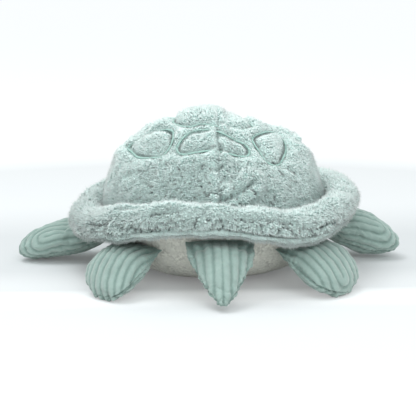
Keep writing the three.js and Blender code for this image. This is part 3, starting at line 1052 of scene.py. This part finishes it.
class TURTLE_OT_scutes(Operator):
    """Sews the outlines of the scutes, stitch by stitch"""

    bl_idname = "turtle.scutes"
    bl_label = "Scute stitches"

    def execute(self, context):
        shell, fur, colours = settings().turtle_shell, settings().turtle_fur, settings().turtle_colours
        base = Vector((0, 0, shell.seam_height))
        bm = bmesh.new()
        for line in scute_lines(fur.thread * THREAD_ASIDE):
            places = [*line, line[0]]
            run = 0.0
            for a, b in zip(places, places[1:]):
                run += (b - a).length
                if run >= fur.stitch:
                    self.sew(bm, a, b, (a - base).normalized(), fur)
                    run = 0.0
        mesh = mesh_of("scute_thread", bm)
        piece = piece_of("scute_thread", mesh, thread_material("scute_thread", colours.thread, 0.55, 0.4))
        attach(piece, "shell")
        return {"FINISHED"}

    def sew(self, bm, a, b, out, fur):
        """One slanting satin stitch across the line from a to b."""
        along = (b - a).normalized()
        side = out.cross(along).normalized()
        up = along.cross(side)
        middle = (a + b) / 2 - up * fur.thread_depth
        turn = Matrix((along, side, up)).transposed().to_4x4() @ Matrix.Rotation(fur.slant, 4, "Z")
        made = bmesh.ops.create_icosphere(bm, subdivisions=1, radius=0.5)["verts"]
        size = (fur.stitch * STITCH_OVERLAP, fur.thread, fur.thread * STITCH_FLATNESS)
        bmesh.ops.scale(bm, vec=size, verts=made)
        bmesh.ops.transform(bm, matrix=Matrix.Translation(middle) @ turn, verts=made)


def swell_round(around, middle, spread):
    """A swell round a circle, which crosses the half turn without a step."""
    return swell(np.arctan2(np.sin(around - middle), np.cos(around - middle)), 0, spread)


def swells_round(around, table, start=0):
    """The start and a table's swells: the rows give height, place round the circle and spread."""
    return sum((height * swell_round(around, middle, spread) for height, middle, spread in table), start)


def rim_lift(around):
    """How far the rim is lifted at a place round it."""
    rim = settings().turtle_rim
    return (
        rim.right_lift * np.sin(around)
        + rim.rear_lift * swell_round(around, rim.rear_lift_angle, rim.rear_lift_spread)
        - rim.dip * swell_round(around, rim.dip_angle, rim.dip_spread)
        + rim.right_shoulder * swell_round(around, rim.right_shoulder_angle, rim.right_shoulder_spread)
        + rim.left_shoulder * swell_round(around, rim.left_shoulder_angle, rim.left_shoulder_spread)
        - rim.left_droop * swell_round(around, rim.left_angle, rim.left_spread)
    )


# Rows of swells round the rim: where its top is flattened, by shares, where its top is raised and its
# lip hangs, in metres, and where its fur is thinner and darkened with painted shade, by shares
RIM_FLATS = ((0.38, -115 * DEGREE, 18 * DEGREE), (0.34, 126 * DEGREE, 16 * DEGREE))
RIM_RISES = ((0.0045, -42 * DEGREE, 24 * DEGREE), (0.0036, 42 * DEGREE, 24 * DEGREE), (0.0015, 0, 0.2))
RIM_HANGS = ((0.003, 38 * DEGREE, 17 * DEGREE),)
RIM_THINNED_AND_SHADED = ((-0.42, -90 * DEGREE, 0.6), (-0.2, 90 * DEGREE, 0.6))
# Inside its fur the rim's form lies this deep, and its filling may press it this far
RIM_INSET, RIM_PRESS, RIM_GRID, RIM_TRIAL = 0.0036, 0.002, (620, 90), (220, 28)
# LIP_SHADE and CREASE_SHADE are the half widths of the painted shade along the lip seam and the creases
LIP_VALLEY, LIP_WELT, LIP_SHADE = (0.0034, 0.0016), (0.0016, 0.35, 0.2), 0.0017
CREASE_VALLEY, CREASE_WELT, CREASE_SHADE = (0.0026, 0.002), (0.0012, 0.0055, 0.0022), 0.0017
CREASE_INSET, LIP_RUFFLE = 0.0012, 0.9


def on_rim(around, section, inset):
    """Points of the rim: around is 0 behind and positive on the right, section is 0 outwards."""
    shell, rim = settings().turtle_shell, settings().turtle_rim
    half_wide = (shell.half_width - dome_half_width() - shell.seam_gap) / 2
    middle, high = shell.half_width - half_wide, rim.height / 2
    inner = middle - half_wide
    seam = swell_round(around, 0, rim.pinch_spread) + swell_round(around, math.pi, rim.pinch_spread)
    pinch = 1 - rim.pinch_share * seam
    out = middle + (half_wide - inset) * np.cos(section)
    out = inner + (out - inner) * pinch
    turn = np.sin(section)
    flat = swells_round(around, RIM_FLATS)
    # The inner upper side is fuller than an oval, except where the top is flattened
    full = ease(-np.cos(section), 0, 0.7) * (turn > 0) * np.maximum(1 - 4 * flat, 0)
    turn = turn * (1 - full) + np.sqrt(np.maximum(turn, 0)) * full
    rise = swells_round(around, RIM_RISES) * np.maximum(turn, 0)
    up = (high - inset) * turn * (1 - flat * (turn > 0)) + rise - rim.droop
    tilt = rim.left_tilt * swell_round(around, rim.left_angle, rim.left_spread)
    hang = tilt * (1 - inset / half_wide) * np.cos(section)
    hang = hang + swells_round(around, RIM_HANGS) * (turn < 0) * -turn
    high = shell.seam_height + up * pinch + rim_lift(around) - hang
    return np.stack([out * np.sin(around), -out * np.cos(around) * stretch(), high], axis=-1)


def rim_angles(u, v):
    return (u - 0.5) * TURN, (v - 0.5) * TURN


# Creases of the rim: places round it and round its section, in degrees
RIM_CREASES = [
    [(-27, 28), (-22, 36), (-16, 40), (-10, 36), (-7, 26)],
    [(-44, 58), (-36, 64), (-28, 66)],
    [(-2, 88), (-0.5, 60), (1.5, 30), (0.5, 0), (1, -30)],
    [(6, 18), (12, 26), (20, 28), (27, 20)],
    [(34, 62), (44, 70), (54, 72)],
    [(30, 8), (38, 2), (46, 4)],
    [(-60, 20), (-52, 14), (-46, 18)],
    [(-34, -6), (-26, -14), (-18, -12)],
]


class TURTLE_OT_rim(Operator):
    """Makes the stuffed rim, with its lip seam and creases"""

    bl_idname = "turtle.rim"
    bl_label = "Rim"

    def execute(self, context):
        rim, fur, colours = settings().turtle_rim, settings().turtle_fur, settings().turtle_colours
        creases = []
        for crease in RIM_CREASES:
            places = [on_rim(math.radians(a), math.radians(s), CREASE_INSET) for a, s in crease]
            creases.append(rounded(places, closed=False))

        def place(u, v):
            return on_rim(*rim_angles(u, v), RIM_INSET)

        def held(u, v, grid):
            # The two end seams, the inner edge and the lip seam
            around, section = rim_angles(u, v)
            ends = np.abs(np.sin(around)) < 0.02
            return ends | (np.cos(section) < -0.94) | (np.abs(section - rim.lip_angle) < 0.12)

        def relief(points, u, v, grid):
            around, section = rim_angles(u, v)
            seam = rim.lip_angle + 0.17 * swell_round(around, 0.6, 0.5) + 0.05 * waves(points, 0.03, 17)
            lip = np.abs(section - seam) * rim.height / 2
            plain = 0.3 + 0.7 * ease(around, -0.2, 0.3)
            under = ease(seam - section, 0, 0.12)
            folded = distance_to(creases, points)
            tuft, fine = tufted(points, 3)
            raised = (
                tuft_relief(tuft, fine, 1 - 0.65 * under)
                + 0.0014 * waves(points, 0.014, 15)
                + 0.0018 * waves(points * (1, 1, 2), 0.038, 16)
                - valley(lip, LIP_VALLEY[0] * plain, LIP_VALLEY[1])
                + welt(section, LIP_WELT[0], seam - LIP_WELT[1], LIP_WELT[2])
                - valley(folded, *CREASE_VALLEY)
                + welt(folded, *CREASE_WELT)
            )
            clump = tufts(points, fur.clump, fur.seed + 41)
            # Painted shade in the gaps between the clumps: most on the outer side above the lip seam, less on
            # the top and on the lip. The same share also thins the fur there
            rough = (0.3 + 0.7 * ease(0.9 - section, 0, 0.7)) * (1 - 0.8 * under)
            gap = 1 - (1 - ease(clump, 0.25, 0.9)) * rough
            # Painted shade and thinner fur at the rim's left and right ends
            gap *= swells_round(around, RIM_THINNED_AND_SHADED, 1)
            # Painted shade along the lip seam and the creases
            crease = 0.85 * np.maximum(plain * groove(lip, LIP_SHADE), groove(folded, CREASE_SHADE))
            # Marks for the colours: relief paints shade into the backing's pits between the tufts, and the
            # last mark is low where the gaps and creases get painted shade
            return raised, {
                "relief": 0.35 + 0.65 * tuft,
                "line": np.minimum(lip, folded),
                "under": under,
                "clump": clump,
                "full_and_unshaded": np.clip(gap - crease, 0, 1),
            }

        mesh = cloth_form("rim_cloth", RIM_GRID, RIM_TRIAL, place, held, RIM_PRESS, relief, wraps=True)
        # Painted shade: the rim's backing is a darker copy of the fur's colours, darker than the dome's
        # backing
        backing = skin_material("rim_backing", darker(colours.fur_root, 0.65), darker(colours.fur_tip, 0.75))
        piece = piece_of("rim_cloth", mesh, backing)
        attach(piece, "shell")
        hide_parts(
            "rim_upper_left", "rim_upper_right", "rim_lower_left", "rim_lower_right", "rim_filling"
        )
        points = read_points(mesh)
        under, line, clump, gap = (self.marks(mesh, name) for name in ("under", "line", "clump", "full_and_unshaded"))
        inner = np.hypot(points[:, 0], points[:, 1] / stretch()) < dome_half_width() + 0.001
        thick = ease(line, 0.0006, 0.0019) * ~inner * (0.35 + 0.65 * gap)
        tall = (0.45 + 0.55 * ease(line, 0.001, 0.006)) * (0.5 + 0.65 * clump)
        tall += 0.12 * waves(points, 0.02, 14)
        # Painted shade: the rim's fur is a darker copy of the dome's, and the lip's fur, turned under, is the
        # lip's colour darkened further
        upper = fur_material("rim_fur", darker(colours.fur_tip, 0.93), darker(colours.fur_root, 0.88))
        lower = fur_material("lip_fur", darker(colours.lip, 0.7), darker(colours.lip, 0.56))
        for side, word in SIDES:
            half = thick * (points[:, 0] * side >= 0)
            for full, kind in KINDS_OF_FUR:
                name, seed = f"rim_{kind}_{word}", side + 11 + 4 * full
                top = grow(name, piece, upper, half * (under < 0.5), tall, seed, full)
                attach(top, "shell")
            name, below = f"rim_lip_hairs_{word}", half * (under >= 0.5)
            lip = grow(name, piece, lower, below, tall * 0.75, side + 21, full=False, ruffle=LIP_RUFFLE)
            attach(lip, "shell")
        return {"FINISHED"}

    def marks(self, mesh, name):
        values = np.empty(len(mesh.vertices), np.float32)
        mesh.attributes[name].data.foreach_get("value", values)
        return values


BELLY_SIDE = 0.86
BELLY_PRESS, BELLY_GRID, BELLY_TRIAL = 0.0025, (360, 110), (130, 44)


def belly_depth():
    """Height of the belly's form, of which the floor flattens the lowest part."""
    shell = settings().turtle_shell
    return shell.seam_height + shell.belly_flattening


def belly_radius(height):
    """Half width of the belly at a height."""
    shell = settings().turtle_shell
    side = 1 - ((shell.seam_height - height) / belly_depth()) ** 2
    return dome_half_width() * side ** (1 / shell.belly_roundness)


class TURTLE_OT_belly(Operator):
    """Makes the cream belly, whose edge closes inwards under the dome"""

    bl_idname = "turtle.belly"
    bl_label = "Belly"

    def execute(self, context):
        shell = settings().turtle_shell

        def place(u, v):
            bend = np.clip(v / BELLY_SIDE, 0, 1) * math.pi / 2
            closing = 1 - np.clip((v - BELLY_SIDE) / (1 - BELLY_SIDE), 0, 1)
            across = dome_half_width() * np.sin(bend) ** (2 / shell.belly_roundness) * closing
            up = np.maximum(shell.seam_height - shell.seam_gap / 2 - belly_depth() * np.cos(bend), 0)
            around = u * TURN
            return np.stack([across * np.sin(around), -across * np.cos(around) * stretch(), up], axis=-1)

        def relief(points, u, v, grid):
            folds = 0.0007 * waves(points * (1, 1, 2.5), 0.02, 31) + 0.0003 * waves(points, 0.007, 32)
            lifted = ease(points[:, 2], 0.0, 0.006) * (v < BELLY_SIDE)
            return folds * lifted, {"relief": np.ones(len(points))}

        def held(u, v, grid):
            # What lies on the floor, the seam under the dome and the closing edge
            return (grid[:, 2] < 0.0005) | (grid[:, 2] > shell.seam_height - 0.003) | (v > 0.85)

        mesh = cloth_form("belly_cloth", BELLY_GRID, BELLY_TRIAL, place, held, BELLY_PRESS, relief)
        points = read_points(mesh)
        points[:, 2] = np.maximum(points[:, 2], 0)
        write_points(mesh, points)
        piece = piece_of("belly_cloth", mesh, cream_material())
        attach(piece, "shell")
        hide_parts("belly_panel")
        return {"FINISHED"}


# Stuffed limbs, tail and head: sizes in millimetres, as in the part's source


REAR = {
    "seat_angle": 44, "seat_height": 36.6, "pitch": 25, "length": 57, "width": 58, "thickness": 29, "root": 8,
    "sweep": 10, "rise": -4.5,
    "lengths": [0, 0.12, 0.28, 0.46, 0.64, 0.79, 0.9, 0.97, 1],
    "widths": [0.92, 0.96, 0.99, 1, 0.98, 0.88, 0.7, 0.46, 0],
    "thicknesses": [0, 0.6, 0.88, 1, 0.96, 0.82, 0.63, 0.44, 0],
    "rises": [0, 0, 0.05, 0.15, 0.35, 0.58, 0.86, 1.25, 1.6],
}
FRONT = {
    "turned": 0.14, "loops": 0.62, "shift": 3,
    "seat_angle": 110, "seat_height": 31, "pitch": 8, "length": 87, "width": 60, "thickness": 35, "root": 8,
    "sweep": 21, "rise": -6,
    "lengths": [0, 0.1, 0.23, 0.42, 0.62, 0.78, 0.9, 0.97, 1],
    "widths": [0.74, 0.84, 0.93, 1, 0.98, 0.88, 0.68, 0.44, 0],
    "thicknesses": [0, 0.4, 0.68, 1, 0.96, 0.84, 0.67, 0.46, 0],
    "rises": [0, 0, 0.05, 0.17, 0.38, 0.6, 0.81, 0.95, 1],
}
FRONT_RIGHT = {
    **FRONT, "seat_height": 39.5, "pitch": 15, "length": 80, "thickness": 40, "rise": -4,
    "thicknesses": [0, 0.34, 0.6, 0.93, 1, 0.79, 0.58, 0.4, 0],
}
TAIL = {
    "seat_angle": 0, "seat_height": 45, "pitch": 30, "length": 63, "width": 60, "thickness": 20, "root": 8,
    "sweep": 0, "rise": -7,
    "lengths": [0, 0.15, 0.3, 0.45, 0.6, 0.74, 0.86, 0.95, 1],
    "widths": [0.95, 0.95, 0.87, 0.75, 0.6, 0.44, 0.28, 0.16, 0],
    "thicknesses": [0, 0.78, 0.98, 1, 0.94, 0.82, 0.62, 0.42, 0],
    "rises": [0, 0.02, 0.08, 0.19, 0.35, 0.54, 0.74, 0.91, 1],
}
HEAD = {
    "seat_angle": 180, "seat_height": 30, "pitch": 0, "length": 93, "width": 72, "thickness": 58, "root": 24,
    "sweep": 0, "rise": 11,
    "lengths": [0, 0.12, 0.24, 0.36, 0.48, 0.62, 0.77, 0.9, 0.97, 1],
    "widths": [0.72, 0.74, 0.78, 0.88, 0.97, 1, 0.92, 0.7, 0.44, 0],
    "thicknesses": [0, 0.44, 0.54, 0.76, 0.93, 1, 0.92, 0.7, 0.44, 0],
    "rises": [0, 0.06, 0.3, 0.68, 0.92, 1, 0.96, 0.88, 0.8, 0.78],
}
LIMBS = {
    "rear_left": (REAR, -1),
    "rear_right": ({**REAR, "sweep": 2, "width": 60, "shoulder": 8, "loops": 0.84, "shift": 3}, 1),
    "front_left": (FRONT, -1),
    "front_right": (FRONT_RIGHT, 1),
    "tail": (TAIL, 1),
}
# Power of the oval of a section and of the tip's rounding, and the share of v that the root's edge takes
OVAL_POWER, TIP_POWER, NOSE = 1.2, 1.5, 0.05
LIMB_PRESS, LIMB_GRID, LIMB_TRIAL = 0.003, (256, 110), (72, 44)
HEAD_GRID, HEAD_TRIAL = (320, 130), (80, 52)
# Where a broadened form's outer side begins and is whole, from its middle line
SHOULDER = (-4 * MM, 24 * MM)
WALE_ROUNDNESS, PUCKER_STEP, SEAM_GROOVE, LEAST_HEIGHT = 0.62, 0.0055, 0.0009, 0.0004


def section_at(form, t):
    """Half width and half height of a form, in metres, at a share of its length."""
    widths = np.array(form["widths"])
    thicknesses = np.maximum(form["thicknesses"], form["root"] / form["thickness"])
    wide = through(t, form["lengths"], np.square(widths))
    high = through(t, form["lengths"], np.square(thicknesses) * (widths > 0))
    half = MM / 2
    wide, high = np.sqrt(np.maximum(wide, 0)), np.sqrt(np.maximum(high, 0))
    return form["width"] * half * wide, form["thickness"] * half * high


def unbent(form, u, v):
    """Points of the straight form: u goes round the section and v from the root's edge to the tip."""
    turn = (1 - np.clip(v / NOSE, 0, 1)) * math.pi / 2
    t = 1 - (1 - np.clip((v - NOSE) / (1 - NOSE), 0, 1)) ** TIP_POWER
    wide, high = section_at(form, t)
    high = high * np.cos(turn)
    along = t * form["length"] * MM - form["root"] / 2 * MM * np.sin(turn)
    around = u * TURN
    up = np.sin(around)
    return np.stack([along, wide * np.cos(around), high * np.sign(up) * np.abs(up) ** OVAL_POWER], axis=-1)


def bend(form, side, points):
    """The points of a straight form, swept back, risen and broadened at its outer side."""
    t = np.clip(points[:, 0] / (form["length"] * MM), 0, 1)
    points = points.copy()
    outer = ease(side * points[:, 1], *SHOULDER) * (1 - 0.65 * ease(t, 0.35, 1))
    points[:, 1] += side * MM * (form.get("shoulder", 0) * outer - form["sweep"] * t * t)
    points[:, 2] += form["rise"] * MM * through(t, form["lengths"], form["rises"])
    return points


def seat(form, side):
    """The matrix that sets a form against the belly."""
    height, tiny = form["seat_height"] * MM, 0.0003
    slope = (belly_radius(height + tiny) - belly_radius(height - tiny)) / (2 * tiny)
    turn = side * math.radians(form["seat_angle"])
    place = Vector((math.sin(turn), -stretch() * math.cos(turn), 0)) * belly_radius(height)
    place.z = height
    outward = Vector((math.sin(turn), -math.cos(turn) / stretch(), -slope)).normalized()
    place += outward * (form["root"] / 2 * MM + settings().turtle_shell.seam_gap)
    return (
        Matrix.Translation(place)
        @ Matrix.Rotation(math.atan2(outward.y, outward.x), 4, "Z")
        @ Matrix.Rotation(math.radians(form["pitch"]), 4, "Y")
    )


def wale_relief(form, side, seed):
    """The relief of a corduroy form: wales that run along it and loop round its tip, with a crease
    and puckers at its seams. The seams are turned round the form by its share of a turn."""
    cloth = settings().turtle_corduroy
    turned = side * form.get("turned", 0.0)
    loops, shift = form.get("loops", 1.0), side * form.get("shift", 0.0) * MM

    def relief(points, u, v, grid):
        rows, columns = grid.shape[:2]
        step = np.linalg.norm(np.diff(grid, axis=1), axis=2)
        run = np.concatenate([np.zeros((rows, 1)), np.cumsum(step, axis=1)], axis=1)
        whole = run[:, -1:]
        along = np.linalg.norm(np.diff(grid[:, columns // 4], axis=0), axis=1)
        along = np.concatenate([[0], np.cumsum(along)])[:, None]

        def beside(place):
            """Signed distance round the form from a place, a share of a turn from the rear seam."""
            at = run[:, int((place % 1) * (columns - 1))][:, None]
            return (run - at + whole / 2) % np.maximum(whole, 1e-9) - whole / 2

        crown, keel = beside(0.25 + turned), beside(0.75 + turned)
        upper = np.abs(crown) < np.abs(keel)
        seam = np.minimum(np.abs(beside(turned)), np.abs(beside(0.5 + turned))).ravel()
        across = np.where(upper, crown, keel) - shift * whole / whole.max()
        past = np.maximum(along - loops * along[-1], 0)
        wander = 0.0011 * waves(points, 0.024, seed) + 0.00035 * waves(points, 0.007, seed + 1)
        wave = np.sin((np.hypot(across, past).ravel() + wander) * math.pi / cloth.pitch) ** 2
        ridge = wave**WALE_ROUNDNESS
        flat = ease(seam, 0.0005, cloth.seam_width * 0.8)
        root = ease(v, 0.05, 0.1)
        pucker = np.sin(points[:, 0] * TURN / PUCKER_STEP + 2.5 * waves(points, 0.014, seed + 3))
        raised = (
            cloth.height * (ridge - 0.6) * (0.4 + 0.6 * flat) * root
            + 0.0004 * waves(points, 0.0032, seed + 2)
            + 0.0005 * waves(points, 0.008, seed + 5) * root
            + 0.001 * waves(points, 0.02, seed + 4) * root
            + 0.0004 * pucker * swell(seam, 0.0018, 0.0018) * root
            - valley(seam, cloth.seam_depth, SEAM_GROOVE) * root
        )
        # Painted shade in the colour: darker in the grooves, at the seams, and near the root, which lies in
        # the shade under the rim
        shade = ridge * (0.35 + 0.65 * ease(seam, 0.0, 0.0012)) * (0.4 + 0.6 * ease(v, 0.1, 0.28))
        return raised, {"relief": np.clip(shade, 0, 1)}

    return relief


def slimmed(form, width, thickness):
    """The form without what the cloth's relief adds to it."""
    return {**form, "width": form["width"] - width, "thickness": form["thickness"] - thickness}


def limb_mesh(name, form, side, seed):
    turned = side * form.get("turned", 0.0)
    slim = slimmed(form, 0.8, 1.4)

    def held(u, v, grid):
        # The two side seams and the root
        seam = np.abs((2 * (u - turned) + 0.5) % 1 - 0.5)
        return (seam < 0.03) | (v < 0.1)

    def place(u, v):
        return unbent(slim, u, v)

    relief = wale_relief(form, side, seed)
    mesh = cloth_form(name, LIMB_GRID, LIMB_TRIAL, place, held, LIMB_PRESS, relief)
    points = bend(form, side, read_points(mesh))
    write_points(mesh, points)
    mesh.transform(seat(form, side))
    points = read_points(mesh)
    points[:, 2] = np.maximum(points[:, 2], LEAST_HEIGHT)
    write_points(mesh, points)
    return mesh


class TURTLE_OT_limbs(Operator):
    """Makes the four flippers and the tail"""

    bl_idname = "turtle.limbs"
    bl_label = "Flippers and tail"

    def execute(self, context):
        cloth = corduroy_material()
        for i, (name, (form, side)) in enumerate(LIMBS.items()):
            body = name if name == "tail" else f"{name}_flipper"
            piece = piece_of(f"{body}_cloth", limb_mesh(f"{body}_cloth", form, side, 50 + 10 * i), cloth)
            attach(piece, body)
            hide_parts(f"{name}_upper", f"{name}_lower", f"{name}_filling")
        return {"FINISHED"}


# The head's chin seam and its eyes: each eye's place along and above the straight head, how far it is
# sunk, its half sizes and the width of two rows of its thread
CHIN, CHIN_HOLD, CHIN_FADE = -9 * MM, 1.5 * MM, (-10 * MM, -8.5 * MM)
EYE_ALONG, EYE_UP, EYE_SUNK = 68, 5, 0.2
EYE_SIZE, EYE_ROW, EYE_ROW_DEPTH = (4.7 * MM, 1.7 * MM, 6.2 * MM), 0.75 * MM, 0.14


class TURTLE_OT_head(Operator):
    """Makes the head, its chin and its stitched eyes"""

    bl_idname = "turtle.head"
    bl_label = "Head"

    def execute(self, context):
        colours = settings().turtle_colours
        slim = slimmed(HEAD, 1, 1)

        def place(u, v):
            return unbent(slim, u, v)

        def held(u, v, grid):
            # The side lines, the root and the chin seam
            seam = np.abs((2 * u + 0.5) % 1 - 0.5)
            return (seam < 0.03) | (v < 0.1) | (np.abs(grid[:, 2] - CHIN) < CHIN_HOLD)

        wales = wale_relief(HEAD, 1, 120)

        def relief(points, u, v, grid):
            raised, marks = wales(points, u, v, grid)
            return raised * ease(points[:, 2], *CHIN_FADE), marks

        whole = cloth_form("head", HEAD_GRID, HEAD_TRIAL, place, held, LIMB_PRESS, relief)
        sides = ("head_left_panel", "head_right_panel", "head_filling")
        for name, keep, material, slot, nodes in (
            ("head_cloth", 1, "wale_cloth", "corduroy", sides),
            ("head_chin_cloth", -1, "belly_pile", "cream_pile", ("head_chin_panel",)),
        ):
            bm = bmesh.new()
            bm.from_mesh(whole)
            geometry = [*bm.verts, *bm.edges, *bm.faces]
            bmesh.ops.bisect_plane(
                bm, geom=geometry, plane_co=(0, 0, CHIN), plane_no=(0, 0, keep), clear_inner=True
            )
            edges = [e for e in bm.edges if e.is_boundary]
            for edge in edges:
                edge.smooth = False
            bmesh.ops.holes_fill(bm, edges=edges, sides=0)
            mesh = mesh_of(name, bm)
            write_points(mesh, bend(HEAD, 1, read_points(mesh)))
            mesh.transform(seat(HEAD, 1))
            piece = piece_of(name, mesh, bpy.data.materials[material])
            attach(piece, "head")
            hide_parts(*nodes)
        bpy.data.meshes.remove(whole)
        thread = thread_material("eye_thread", colours.eye, 0.35, 0.2)
        for side, word in ((1, "left"), (-1, "right")):
            self.stitch_eye(side, word, thread)
        return {"FINISHED"}

    def stitch_eye(self, side, word, material):
        """A satin-stitched oval: rows of thread side by side over a low swell."""
        wide, high = section_at(HEAD, np.array([EYE_ALONG / HEAD["length"]]))
        up = EYE_UP * MM / high[0]
        across = math.sqrt(max(0.0, 1 - up ** (2 / OVAL_POWER))) * wide[0]
        bm = bmesh.new()
        bmesh.ops.create_uvsphere(bm, u_segments=96, v_segments=48, radius=1)
        bmesh.ops.scale(bm, vec=EYE_SIZE, verts=bm.verts)
        for vert in bm.verts:
            row = abs(math.sin(vert.co.z * math.pi / EYE_ROW))
            vert.co.y *= 1 - EYE_ROW_DEPTH + EYE_ROW_DEPTH * row
        place = (EYE_ALONG * MM, side * (across - EYE_SUNK * MM), EYE_UP * MM)
        bmesh.ops.translate(bm, vec=place, verts=bm.verts)
        mesh = mesh_of(f"eye_{word}_thread", bm)
        write_points(mesh, bend(HEAD, 1, read_points(mesh)))
        mesh.transform(seat(HEAD, 1))
        piece = piece_of(f"eye_{word}_thread", mesh, material)
        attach(piece, "head")
        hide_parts(f"eye_{word}")


class TURTLE_PT_panel(Panel):
    """Lists the turtle's sizes, colours and pieces"""

    bl_idname = "TURTLE_PT_panel"
    bl_label = "Stuffed Turtle"
    bl_space_type = "VIEW_3D"
    bl_region_type = "UI"
    bl_category = "Turtle"

    def draw(self, context):
        for title, name in GROUPS.items():
            box = self.layout.box()
            box.label(text=title)
            group = getattr(context.scene, name)
            for key in group.bl_rna.properties.keys():
                if key not in ("rna_type", "name"):
                    box.prop(group, key)
        for maker in MAKERS:
            self.layout.operator(maker.bl_idname)


GROUPS = {
    "Shell": "turtle_shell",
    "Rim": "turtle_rim",
    "Fur": "turtle_fur",
    "Corduroy": "turtle_corduroy",
    "Stuffing": "turtle_stuffing",
    "Colours": "turtle_colours",
}
KINDS = (ShellSizes, RimSizes, FurSizes, CorduroySizes, StuffingSizes, TurtleColours)
MAKERS = (
    TURTLE_OT_stage,
    TURTLE_OT_dome,
    TURTLE_OT_scutes,
    TURTLE_OT_rim,
    TURTLE_OT_belly,
    TURTLE_OT_limbs,
    TURTLE_OT_head,
)


def register():
    for kind in (*KINDS, *MAKERS, TURTLE_PT_panel):
        bpy.utils.register_class(kind)
    for name, kind in zip(GROUPS.values(), KINDS):
        setattr(bpy.types.Scene, name, PointerProperty(type=kind))


def unregister():
    for name in GROUPS.values():
        delattr(bpy.types.Scene, name)
    for kind in reversed((*KINDS, *MAKERS, TURTLE_PT_panel)):
        bpy.utils.unregister_class(kind)


def main():
    register()
    for maker in MAKERS:
        group, name = maker.bl_idname.split(".")
        getattr(getattr(bpy.ops, group), name)()


if __name__ == "__main__":
    main()
